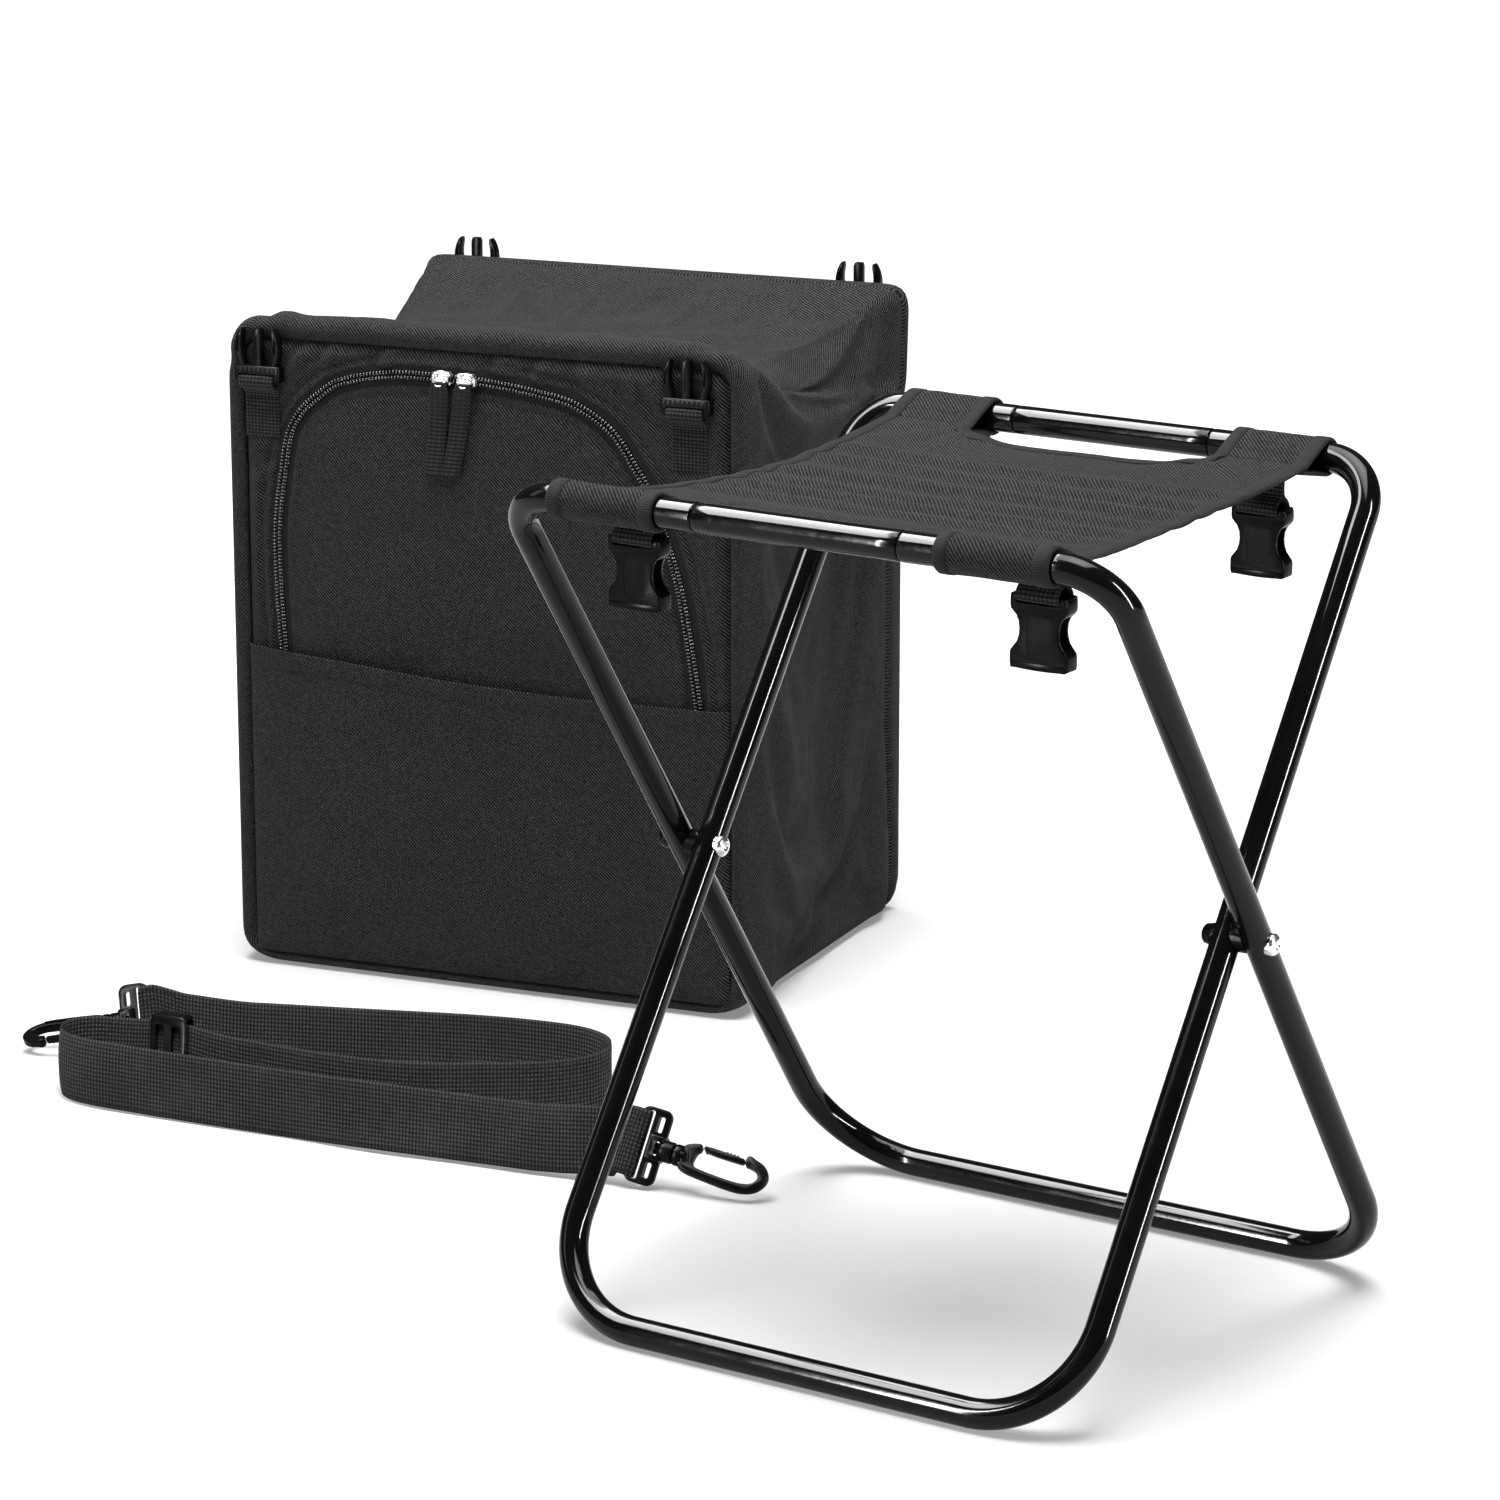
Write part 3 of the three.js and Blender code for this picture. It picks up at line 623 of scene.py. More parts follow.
# ---------------------------------------------------------------- stool: tubes
OUTER_W, INNER_W, HALF_DEPTH, RAIL_Z, FOOT_Z = 179.5, 161.0, 157.5, 452.0, 8.0
PIVOT_Z, GRIP_HALF, TUBE_R = 230.0, 61.0, 8.0
HALF = math.hypot(HALF_DEPTH, (RAIL_Z - FOOT_Z) / 2)


def leg_dir(lean):
    return np.array([0.0, lean * HALF_DEPTH, (RAIL_Z - FOOT_Z) / 2]) / HALF


def frame_tube(name, w, lean, body, node):
    """one bent tube, from one end of the grip rail round both legs and the foot rail to the other"""
    v, u, o = leg_dir(lean), np.array([1.0, 0, 0]), np.array([0, 0, PIVOT_Z])
    ab = [(GRIP_HALF, HALF), (100.0, HALF)]

    def arc(cu, cv, r, a0, a1, n):
        for i in range(n + 1):
            a = math.radians(a0 + (a1 - a0) * i / n)
            ab.append((cu + r * math.cos(a), cv + r * math.sin(a)))

    arc(w - 30, HALF - 30, 30, 90, 0, 30)
    for t in (0.2, 0.4, 0.6, 0.8):
        ab.append((w, (HALF - 30) + (-HALF + 58 - HALF + 30) * t))
    arc(w - 58, -HALF + 58, 58, 0, -90, 36)
    right = ab[:]
    ab = right + [(-a, b) for a, b in right[::-1]]
    P = np.array([o + u * a + v * b for a, b in ab])
    T = np.gradient(P, axis=0)
    keep = np.linalg.norm(T, axis=1) > 1e-9
    P, T = P[keep], T[keep]
    T[0], T[-1] = (1, 0, 0), (1, 0, 0)
    T /= np.linalg.norm(T, axis=1)[:, None]
    # rolled lips at both ends
    lip = [(0.0, 6.9), (0.12, 7.35), (0.4, 7.72), (0.85, 7.95), (1.5, 8.0)]
    cen = [P[0] + T[0] * d for d, _ in lip] + list(P[1:-1]) + [P[-1] - T[-1] * d for d, _ in lip[::-1]]
    rad = [r for _, r in lip] + [TUBE_R] * (len(P) - 2) + [r for _, r in lip[::-1]]
    tan = [T[0]] * len(lip) + list(T[1:-1]) + [T[-1]] * len(lip)
    cen, rad, tan = np.array(cen), np.array(rad), np.array(tan)
    bn = np.cross(u, v)
    nn = np.cross(tan, bn)
    n = 36
    ang = np.arange(n) * 2 * math.pi / n
    pts = cen[:, None, :] + rad[:, None, None] * (np.cos(ang)[None, :, None] * nn[:, None, :] + np.sin(ang)[None, :, None] * bn[None, None, :])
    b = Build()
    s = arc_len(cen)
    uv = np.stack(np.broadcast_arrays(s[:, None] / 1000, (ang * TUBE_R / 1000)[None, :]), -1)
    b.grid(st(pts), uv, cu=True)
    m = len(cen)
    b.fan(list(range(n)), st(cen[0]), flip=True)
    b.fan(list(range((m - 1) * n, m * n)), st(cen[-1]))
    ob = b.obj(name, ENAMEL)
    return put(ob, body, [node])


frame_tube("outer_loop_tube", OUTER_W, -1, "outer_frame", "outer_frame_tube")
frame_tube("inner_loop_tube", INNER_W, 1, "inner_frame", "inner_frame_tube")


def grip_rail(name, y, body, node):
    g = GRIP_HALF - 0.3
    prof = [(6.1, -g - 26), (6.1, -g), (7.1, -g), (7.5, -g + 0.15), (7.85, -g + 0.5), (8.0, -g + 1.1), (8.0, -g + 12), (8.0, 0),
            (8.0, g - 12), (8.0, g - 1.1), (7.85, g - 0.5), (7.5, g - 0.15), (7.1, g), (6.1, g), (6.1, g + 26)]
    ob = lathe(prof, 40).obj(name, ENAMEL)
    transform(ob, stool_matrix() @ Matrix.Translation((0, y, RAIL_Z)))
    return put(ob, body, [node])


grip_rail("front_grip_rail", -HALF_DEPTH, "outer_frame", "outer_grip_rail")
grip_rail("back_grip_rail", HALF_DEPTH, "inner_frame", "inner_grip_rail")


# ---------------------------------------------------------------- stool: pivots
def tube_face(w, lean, dy, dz, side):
    """x of the leg tube's skin at an offset from the pivot axis"""
    v = leg_dir(lean)
    d = np.clip(np.abs(dy * v[2] - dz * v[1]), 0, TUBE_R - 0.05)
    return w + side * np.sqrt(TUBE_R ** 2 - d ** 2)


def pivot_head(name, prof, w, side, lean, seat_r, mat, node):
    """turned head (radius, height above the tube's crown) whose skirt follows the tube"""
    n = 48
    ang = np.arange(n) * 2 * math.pi / n
    rows = []
    for r in (0.3 * seat_r, seat_r):
        dy, dz = r * np.cos(ang), r * np.sin(ang)
        rows.append(np.stack([tube_face(w, lean, dy, dz, side) - side * 0.25, dy, dz + PIVOT_Z], -1))
    for r, h in prof:
        dy, dz = r * np.cos(ang), r * np.sin(ang)
        x = np.full(n, w + side * (TUBE_R + h)) if h is not None else tube_face(w, lean, dy, dz, side) + side * 0.15
        rows.append(np.stack([x, dy, dz + PIVOT_Z], -1))
    pts = np.array(rows)
    b = Build()
    b.grid(st(pts), cu=True)
    b.fan(list(range(n)), st(pts[0].mean(0)), flip=True)
    b.fan(list(range((len(rows) - 1) * n, len(rows) * n)), st(pts[-1].mean(0)))
    ob = b.obj(name, mat)
    auto_smooth(ob, 50)
    return put(ob, "outer_frame", [node])


SCREW = [(5.9, None), (5.95, 0.55), (5.75, 1.15), (5.2, 1.9), (4.3, 2.6), (3.3, 3.05), (2.75, 3.2), (2.45, 3.1), (2.3, 2.4), (1.5, 1.9), (0.8, 2.5), (0.3, 2.75)]
CAPNUT = [(5.9, None), (6.0, 0.5), (5.7, 0.9), (5.55, 3.0), (5.1, 4.1), (4.2, 4.9), (2.8, 5.4), (1.2, 5.6)]
pivot_head("pivot_screw_right", SCREW, OUTER_W, 1, -1, 5.6, CHROME, "pivot_bolt_right")
pivot_head("pivot_screw_left", SCREW, -INNER_W, 1, 1, 5.6, CHROME, "pivot_bolt_left")
pivot_head("pivot_cap_right", CAPNUT, INNER_W, -1, 1, 5.6, PLASTIC, "pivot_nut_right")
pivot_head("pivot_cap_left", CAPNUT, -OUTER_W, -1, -1, 5.6, PLASTIC, "pivot_nut_left")


def spacer(name, s, node):
    """thick washer between the legs, dished on both faces to sit on the tubes"""
    n, b = 48, Build()
    ang = np.arange(n) * 2 * math.pi / n
    rows = []
    xi, xo = s * INNER_W, s * OUTER_W
    for r, kind in ((3.2, "i"), (6.6, "i"), (7.0, "mi"), (7.0, "mo"), (6.6, "o"), (3.2, "o")):
        dy, dz = r * np.cos(ang), r * np.sin(ang)
        fi, fo = tube_face(xi, 1, dy, dz, s) + s * 0.12, tube_face(xo, -1, dy, dz, -s) - s * 0.12
        x = {"i": fi, "o": fo, "mi": fi + s * 0.4, "mo": fo - s * 0.4}[kind]
        rows.append(np.stack([x, dy, dz + PIVOT_Z], -1))
    b.grid(st(np.array(rows)), cu=True, cv=True)
    ob = b.obj(name, PLASTIC)
    auto_smooth(ob, 50)
    return put(ob, "outer_frame", [node])


spacer("pivot_washer_right", 1, "pivot_spacer_right")
spacer("pivot_washer_left", -1, "pivot_spacer_left")

# ---------------------------------------------------------------- stool: sling seat
RW = 9.35                      # fabric's middle layer round the rail
STITCH_IN = 25.0               # hem seam, inward from the rail
SEAM_DZ = -1.2                 # hem seam, below the rail's centre
SAG = 9.5


def hem_path():
    """hem section round a rail: (inward, up) from the rail's centre, from the seam over the top, round and back under to the seam"""
    sx, sz = STITCH_IN, SEAM_DZ
    dist = math.hypot(sx, sz)
    base = math.atan2(sz, sx)
    off = math.acos(RW / dist)
    a0, a1 = base + off, base - off + 2 * math.pi
    pts = [(sx + (RW * math.cos(a0) - sx) * t, sz + (RW * math.sin(a0) - sz) * t + 0.5 * math.sin(math.pi * t)) for t in np.linspace(0, 1, 7)[:-1]]
    pts += [(RW * math.cos(a), RW * math.sin(a)) for a in np.linspace(a0, a1, 30)]
    bx, bz = RW * math.cos(a1), RW * math.sin(a1)
    ex, ez = sx + 6.0, sz - 2.1
    pts += [(bx + (ex - bx) * t, bz + (ez - bz) * t) for t in np.linspace(0, 1, 7)[1:]]
    return np.array(pts)


HEM = hem_path()
YS = HALF_DEPTH - STITCH_IN     # 132.5, hem seams front and back
cut_f = spline([(84, -YS), (83.2, -128.5), (80, -123.5), (74, -119.8), (66, -117.4), (54, -116)], 12)
cut_b = spline([(76, YS), (75.2, 128.5), (72, 123.5), (66, 119.8), (58, 117.4), (47, 116)], 12)
half_f = [(x, -YS) for x in np.linspace(148, 84, 15)[:-1]] + [tuple(p) for p in cut_f] + [(x, -116 + 1.6 * (1 - (x / 54) ** 2)) for x in np.linspace(54, 0, 13)[1:]]
half_b = [(x, YS) for x in np.linspace(131, 76, 15)[:-1]] + [tuple(p) for p in cut_b] + [(x, 116 - 1.6 * (1 - (x / 47) ** 2)) for x in np.linspace(47, 0, 13)[1:]]
edge_f = np.array(half_f + [(-x, y) for x, y in half_f[-2::-1]])
edge_b = np.array(half_b + [(-x, y) for x, y in half_b[-2::-1]])
NC = len(edge_f)
TONGUE = 15                    # columns of each hem


def seat_z(x, y):
    """sling height: level at the hem seams, slack between, with soft ribs along the rails"""
    t = y / YS
    z = RAIL_Z + SEAM_DZ - SAG * (1 - t * t) * (1 - 0.18 * (np.abs(x) / 140) ** 2)
    # the cut-out edges are pulled between the tongues and hang a little
    for s, w in ((-1, 84.0), (1, 76.0)):
        z = z - 2.2 * smooth01(s * y, 84, 116) * (1 - smooth01(np.abs(x), w * 0.45, w))
    for yr, high in ((-66.0, 2.3), (-41.0, 3.0), (-14.0, 2.6), (13.0, 3.1), (41.0, 2.6), (67.0, 2.2)):
        yy = y - yr - 3.0 * np.sin(x / 70.0 + yr)
        amp = high * (1 - smooth01(np.abs(x), 100, 140))
        z = z + amp * np.exp(-(yy / 5.2) ** 2) - 0.6 * amp * np.exp(-((yy + 10) / 6.5) ** 2)
    # pull lines fanning from each hem corner
    for sx in (-1, 1):
        for sy, cx in ((-1, 84.0), (1, 76.0)):
            dx, dy = sx * x - cx, YS - sy * y
            ang = np.arctan2(dy, dx + 1e-6)
            rr = np.hypot(dx, dy)
            z = z + 0.8 * np.sin(ang * 9 + sx) * np.exp(-((rr - 26) / 20) ** 2) * smooth01(dy, 0, 14)
    return z


rows = np.linspace(0, 1, 66)
seat = np.empty((len(rows), NC, 3))
for k, t in enumerate(rows):
    x = edge_f[:, 0] + (edge_b[:, 0] - edge_f[:, 0]) * t
    y = edge_f[:, 1] + (edge_b[:, 1] - edge_f[:, 1]) * t
    pull = 1 - 0.075 * np.sin(math.pi * t) ** 1.2 * smooth01(np.abs(x), 20, 150)
    x = x * pull
    seat[k, :, 0], seat[k, :, 1], seat[k, :, 2] = x, y, seat_z(x, y)
wr = fnoise(seat, 0.028, 3.0, 3) * 0.55 + fnoise(seat * np.array([0.35, 1, 1]), 0.055, 9.0, 2) * 0.35
seat[..., 2] += wr * (1 - 0.6 * smooth01(np.abs(seat[..., 1]), 112, YS))


def hem_grid(cols, edge, s):
    """hem round one rail for some columns; s is the sign of y. First row is the seam."""
    L = len(HEM)
    g = np.empty((L, len(cols), 3))
    for i, c in enumerate(cols):
        x = edge[c, 0]
        z0 = seat[0 if s < 0 else -1, c, 2]
        g[:, i, 0] = x
        g[:, i, 1] = s * (HALF_DEPTH - HEM[:, 0])
        g[:, i, 2] = RAIL_Z + HEM[:, 1]
        fade = np.linspace(1, 0, L) ** 3
        g[:, i, 2] += (z0 - (RAIL_Z + SEAM_DZ)) * fade
    w = fnoise(g, 0.05, 5.0 + s, 3) * 0.42
    rad = np.stack([np.zeros_like(w), g[..., 1] - s * HALF_DEPTH, g[..., 2] - RAIL_Z], -1)
    n = np.linalg.norm(rad, axis=-1, keepdims=True)
    inside = smooth01(np.arange(L), 2, 8) * (1 - smooth01(np.arange(L), L - 9, L - 3))
    g += rad / n * (np.maximum(w, -0.1) * inside[:, None])[..., None]
    return g


HEMCOLS = {("f", "r"): list(range(0, TONGUE)), ("f", "l"): list(range(NC - TONGUE, NC)), ("b", "r"): list(range(0, TONGUE)), ("b", "l"): list(range(NC - TONGUE, NC))}
sb = Build()
su = np.stack([seat[..., 0], seat[..., 1]], -1) / 1000
sb.grid(st(seat), su)
HEMG = {}
for (fb, lr), cols in HEMCOLS.items():
    s, edge = (-1, edge_f) if fb == "f" else (1, edge_b)
    g = hem_grid(cols, edge, s)
    HEMG[fb, lr] = g
    Lh = arc_len(HEM) / 1000
    uvh = np.stack([g[..., 0] / 1000, np.broadcast_to((s * YS / 1000 + s * Lh)[:, None], g.shape[:2])], -1)
    sb.grid(st(g), uvh, flip=(s < 0))
sling = sb.obj("seat_sling", SEATCLOTH, weld=0.00002)
solidify(sling, 0.0017, 0.0)


def sling_part(ob):
    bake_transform(ob)
    return ob


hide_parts("seat_panel", "seat_sleeve_front_left", "seat_sleeve_front_right", "seat_sleeve_back_left", "seat_sleeve_back_right")
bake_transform(sling)


def binding(name, edge, inner, width=8.5, thick=1.35):
    """tape folded over a cloth edge; edge is the line, inner a point a little way in on the cloth for each"""
    E, I = np.asarray(edge, float), np.asarray(inner, float)
    T = np.gradient(E, axis=0)
    T /= np.linalg.norm(T, axis=1)[:, None]
    D = I - E
    D -= (D * T).sum(1)[:, None] * T
    D /= np.linalg.norm(D, axis=1)[:, None]
    N = np.cross(T, D)
    prof = [(width, thick * 0.55), (width - 0.25, thick), (width * 0.5, thick * 1.05), (0.6, thick), (-0.5, thick * 0.62), (-0.85, 0.0),
            (-0.5, -thick * 0.62), (0.6, -thick), (width * 0.5, -thick * 1.05), (width - 0.25, -thick), (width, -thick * 0.55)]
    prof = np.array(prof)
    pts = E[:, None, :] + D[:, None, :] * prof[None, :, 0, None] + N[:, None, :] * prof[None, :, 1, None]
    b = Build()
    L = arc_len(E) / 1000
    q = arc_len(prof) / 1000
    b.grid(st(pts), np.stack(np.broadcast_arrays(L[:, None], q[None, :]), -1), cu=True)
    m, n = len(prof), len(E)
    b.fan(list(range(m)), st(pts[0].mean(0)), flip=True)
    b.fan(list(range((n - 1) * m, n * m)), st(pts[-1].mean(0)))
    return b.obj(name, TAPE)


def edge_run(fcol, bcol, step, fkey, bkey, ck):
    """a side edge of the sling from the front hem's end to the back hem's: (edge, inner) lines"""
    gf, gb = HEMG[fkey], HEMG[bkey]
    e = np.concatenate([gf[::-1, ck], seat[1:-1, fcol], gb[:, ck]])
    i = np.concatenate([gf[::-1, ck + step], seat[1:-1, fcol + step], gb[:, ck + step]])
    return e, i


def densify(e, i, n):
    L = arc_len(e)
    t = np.linspace(0, L[-1], n)
    return tuple(np.stack([np.interp(t, L, a[:, k]) for k in range(3)], -1) for a in (e, i))


e, i = edge_run(0, 0, 1, ("f", "r"), ("b", "r"), 0)
sling_part(binding("seat_binding_right", *densify(e, i, 190)))
e, i = edge_run(NC - 1, NC - 1, -1, ("f", "l"), ("b", "l"), TONGUE - 1)
sling_part(binding("seat_binding_left", *densify(e, i, 190)))
for fb, row, step in (("f", 0, 1), ("b", -1, -1)):
    gr, gl = HEMG[fb, "r"], HEMG[fb, "l"]
    mid_e, mid_i = seat[row, TONGUE:NC - TONGUE], seat[row + step * 3, TONGUE:NC - TONGUE]
    e = np.concatenate([gr[::-1, TONGUE - 1], mid_e, gl[:, 0]])
    i = np.concatenate([gr[::-1, TONGUE - 3], mid_i, gl[:, 2]])
    sling_part(binding("seat_binding_" + ("front" if fb == "f" else "back"), *densify(e, i, 210), width=7.5))


def stitches(name, line, normal, pitch=3.2, length=2.3, r=0.33, to=st, mat=None):
    """a row of sewn stitches along a line, each a short half-sunk thread"""
    P = np.asarray(line, float)
    N = np.asarray(normal, float)
    L = arc_len(P)
    n = max(2, int(L[-1] / pitch))
    b = Build()
    for k in range(n):
        c = (k + 0.5) * L[-1] / n
        q = np.array([[np.interp(c + d * length, L, P[:, j]) for j in range(3)] for d in (-0.5, -0.25, 0.0, 0.25, 0.5)])
        m = np.array([np.interp(c, L, N[:, j]) for j in range(3)])
        m /= np.linalg.norm(m)
        t = q[-1] - q[0]
        t /= np.linalg.norm(t)
        a = np.cross(t, m)
        ring = np.arange(6) * math.pi / 3
        rad = np.array([0.45, 0.9, 1.0, 0.9, 0.45]) * r
        lift = np.array([-0.55, 0.1, 0.3, 0.1, -0.55]) * r
        pts = q[:, None, :] + m * lift[:, None, None] + rad[:, None, None] * (np.cos(ring)[None, :, None] * a + np.sin(ring)[None, :, None] * m)
        base = b.grid(to(pts), np.broadcast_to(np.array([k * 0.003, 0.0]), (5, 6, 2)), cu=True)
        b.fan([base + i for i in range(6)], to(pts[0].mean(0)), flip=True)
        b.fan([base + 24 + i for i in range(6)], to(pts[-1].mean(0)))
    return b.obj(name, mat or THREAD)


# two rows of stitching along each hem seam
for (fb, lr), g in HEMG.items():
    for k, (row, lift) in enumerate(((0, 1.0), (2, 1.0))):
        line = g[row].copy()
        line[:, 2] += lift
        line = line[2:-2]
        up = np.tile([0.0, 0, 1], (len(line), 1))
        sling_part(stitches(f"hem_stitch_{fb}{lr}_{k + 1}", line, up))
ring = np.concatenate([seat[0, :, :2], seat[1:-1, -1, :2], seat[-1, ::-1, :2], seat[-2:0:-1, 0, :2]])

# ---------------------------------------------------------------- bag: shell
# a tube of cloth lofted from the front seam to the back seam: left side, roof, right side and base in one strip
FY, HX, HY = -142.0, 176.0, 142.0      # front face, half width, half depth
SEAM_Y = FY + 2.5


def seg2(a, b, n):
    t = np.linspace(0, 1, n, endpoint=False)[:, None]
    return np.array(a, float)[None] * (1 - t) + np.array(b, float)[None] * t


def arc2(c, r, a0, a1, n):
    a = np.radians(np.linspace(a0, a1, n, endpoint=False))
    return np.stack([c[0] + r * np.cos(a), c[1] + r * np.sin(a)], -1)


def both(half, top, base):
    h = np.concatenate(half)
    m = h[::-1] * np.array([-1.0, 1.0])
    return np.concatenate([h, np.array([top]), m, np.concatenate(base)])


def loop_smooth(P, n):
    for _ in range(n):
        P = (np.roll(P, 1, 0) + 2 * P + np.roll(P, -1, 0)) / 4
    return P


NSIDE, NARC, NEAR, NTOP, NBASE = 66, 9, 16, 32, 52
FRONT = both([seg2((-169, 22), (-169, 405), NSIDE), arc2((-157, 405), 12, 180, 90, NARC), seg2((-157, 417), (-108, 417), NEAR), seg2((-108, 417), (0, 417), NTOP)],
             (0, 417), [arc2((155, 22), 14, 0, -90, 8)[1:], seg2((155, 8), (-155, 8), NBASE), arc2((-155, 22), 14, -90, -180, 8)])
ear = resample([(-173.5, 374), (-174.5, 414), (-174.0, 420), (-171.5, 424), (-164, 425)], NEAR + 1)[:-1]
BACK = both([seg2((-173.5, 22), (-173.5, 350), NSIDE), seg2((-173.5, 350), (-173.5, 374), NARC), ear, seg2((-164, 425), (0, 425), NTOP)],
            (0, 425), [arc2((159.5, 22), 14, 0, -90, 8)[1:], seg2((159.5, 8), (-159.5, 8), NBASE), arc2((-159.5, 22), 14, -90, -180, 8)])
FRONT, BACK = loop_smooth(FRONT, 2), loop_smooth(BACK, 2)
NLOOP = len(FRONT)


def loop_normals(P, k):
    T = np.roll(P, -1, 0) - np.roll(P, 1, 0)
    T /= np.linalg.norm(T, axis=1)[:, None]
    N = loop_smooth(np.stack([-T[:, 1], T[:, 0]], -1), k)
    return N / np.linalg.norm(N, axis=1)[:, None]


FN, BN = loop_normals(FRONT, 3), loop_normals(BACK, 5)
IS_SIDE = smooth01(np.abs(FN[:, 0]), 0.55, 0.95)
IS_TOP = smooth01(FN[:, 1], 0.55, 0.95)
IS_BASE = smooth01(-FN[:, 1], 0.3, 0.9)
IS_EAR = IS_TOP * smooth01(np.abs(FRONT[:, 0]), 104, 144)
BACK_Y = HY - 6.0 - 14.0 * (1 - smooth01(BACK[:, 1], 330, 372)) - 8.0 * IS_SIDE * (1 - smooth01(BACK[:, 1], 250, 345)) * smooth01(BACK[:, 1], 40, 150)
BACK_Y = loop_smooth(BACK_Y[:, None], 6)[:, 0]
DEPTH = BACK_Y - SEAM_Y
ROLL = [(0.0, 0.0), (-2.0, 0.09), (-3.5, 0.24), (-4.2, 0.42), (-3.6, 0.60), (-1.4, 0.77), (2.6, 0.90), (8.0, 0.98), (15.0, 1.0), (22.0, 0.97), (30.0, 0.91)]
MAIN = np.linspace(0, 1, 37)[1:]


def ridge_line(u, z, a, b, width, amp):
    """soft fold along a segment on a side panel"""
    a, b = np.array(a, float), np.array(b, float)
    d = b - a
    n = np.linalg.norm(d)
    d /= n
    px, pz = u - a[0], z - a[1]
    along = px * d[0] + pz * d[1]
    across = px * -d[1] + pz * d[0]
    win = smooth01(along, -0.15 * n, 0.25 * n) * (1 - smooth01(along, 0.75 * n, 1.15 * n))
    return amp * np.exp(-(across / width) ** 2) * win


def shell_points(inner=False):
    rows = []
    amp = 17.0 * IS_TOP + np.where(FRONT[:, 0] < 0, 14.5, 11.5) * IS_SIDE + 7.7 * IS_BASE
    amp = amp + (1 - np.clip(IS_TOP + IS_SIDE + IS_BASE, 0, 1)) * 11.5
    amp = loop_smooth(amp[:, None], 4)[:, 0]
    cols = [("roll", u, e) for u, e in ROLL] + [("main", q, None) for q in MAIN] + [("end", v, g) for v, g in ((9.0, 0.9), (5.0, 0.8), (2.4, 0.55), (0.8, 0.25), (0.0, 0.0))]
    for kind, p, e in cols:
        if kind == "roll":
            u = np.full(NLOOP, p)
        elif kind == "main":
            u = 30.0 + (DEPTH - 14.0 - 30.0) * p
        else:
            u = DEPTH - p
        q = np.clip(u / DEPTH, 0, 1)
        if inner:
            u = np.clip(u, 3.0, DEPTH - 2.0)
        base = FRONT * (1 - q[:, None]) + BACK * q[:, None]
        nrm = FN * (1 - q[:, None]) + BN * q[:, None]
        nrm /= np.linalg.norm(nrm, axis=1)[:, None]
        x, z = base[:, 0], base[:, 1]
        # padded roll behind the front seam, dying away over the panel
        if kind == "roll" and not inner:
            env = np.full(NLOOP, e)
        elif kind == "roll":
            env = np.full(NLOOP, 0.9 + 0.1 * smooth01(p, 0, 14) - 0.09 * smooth01(p, 15, 30))
        else:
            env = 0.91 * (IS_TOP * (1 - smooth01(u, 30, 118)) + IS_SIDE * (1 - 0.8 * smooth01(u, 34, 90))) + IS_BASE * 1.0
            mixed = 1 - np.clip(IS_TOP + IS_SIDE + IS_BASE, 0, 1)
            env = env + mixed * 0.91 * (1 - 0.8 * smooth01(u, 34, 120))
        d = amp * env
        arch = np.sin(math.pi * np.clip((z - 8) / 412, 0, 1))
        # slack roof between the ridge and the back edge
        d = d - IS_TOP * (1 - 0.35 * IS_EAR) * 13.0 * np.sin(math.pi * q ** 0.9)
        # sides: full in front, hollow behind the middle
        full = 6.5 * arch * (1 - smooth01(q, 0.3, 0.75)) * smooth01(u, 4, 24)
        hollow = -8.5 * arch * smooth01(q, 0.22, 0.52) * (1 - smooth01(q, 0.72, 0.97))
        d = d + IS_SIDE * (full + hollow)
        s = np.sign(x)
        r = (s > 0)
        fold = np.zeros(NLOOP)
        fold += np.where(r, ridge_line(u, z, (60, 300), (66, 80), 17, 2.6) - ridge_line(u, z, (88, 300), (92, 90), 18, 2.4), 0)
        fold += np.where(r, ridge_line(u, z, (112, 215), (132, 20), 16, 4.2) + ridge_line(u, z, (136, 195), (176, 80), 15, 3.6) - ridge_line(u, z, (150, 150), (160, 30), 12, 3.4), 0)
        fold += np.where(r, -ridge_line(u, z, (214, 345), (178, 256), 13, 6.0) + ridge_line(u, z, (186, 336), (150, 262), 16, 3.6), 0)
        fold += np.where(~r, ridge_line(u, z, (52, 330), (58, 120), 17, 2.6) - ridge_line(u, z, (82, 300), (76, 60), 19, 2.4), 0)
        fold += np.where(~r, ridge_line(u, z, (120, 240), (104, 40), 16, 4.0) - ridge_line(u, z, (150, 200), (128, 50), 15, 3.4) - ridge_line(u, z, (214, 345), (182, 250), 13, 5.0), 0)
        d = d + IS_SIDE * fold
        # the strap-ring patch is held out flat
        d = d + IS_SIDE * 3.0 * bump(u, 217.5, 26) * bump(z, 318, 40)
        # back edge: small roll, seam groove on the sides
        if kind == "end":
            d = d * (1 - IS_SIDE) + IS_SIDE * (d * e)
            d = d + (1 - IS_SIDE - IS_BASE).clip(0, 1) * 1.5 * smooth01(q, 0.9, 1.0)
        elif kind != "roll":
            d = d + IS_SIDE * 4.0 * smooth01(u, DEPTH - 46, DEPTH - 14) + (1 - IS_SIDE - IS_BASE).clip(0, 1) * 1.5 * smooth01(q, 0.9, 1.0)
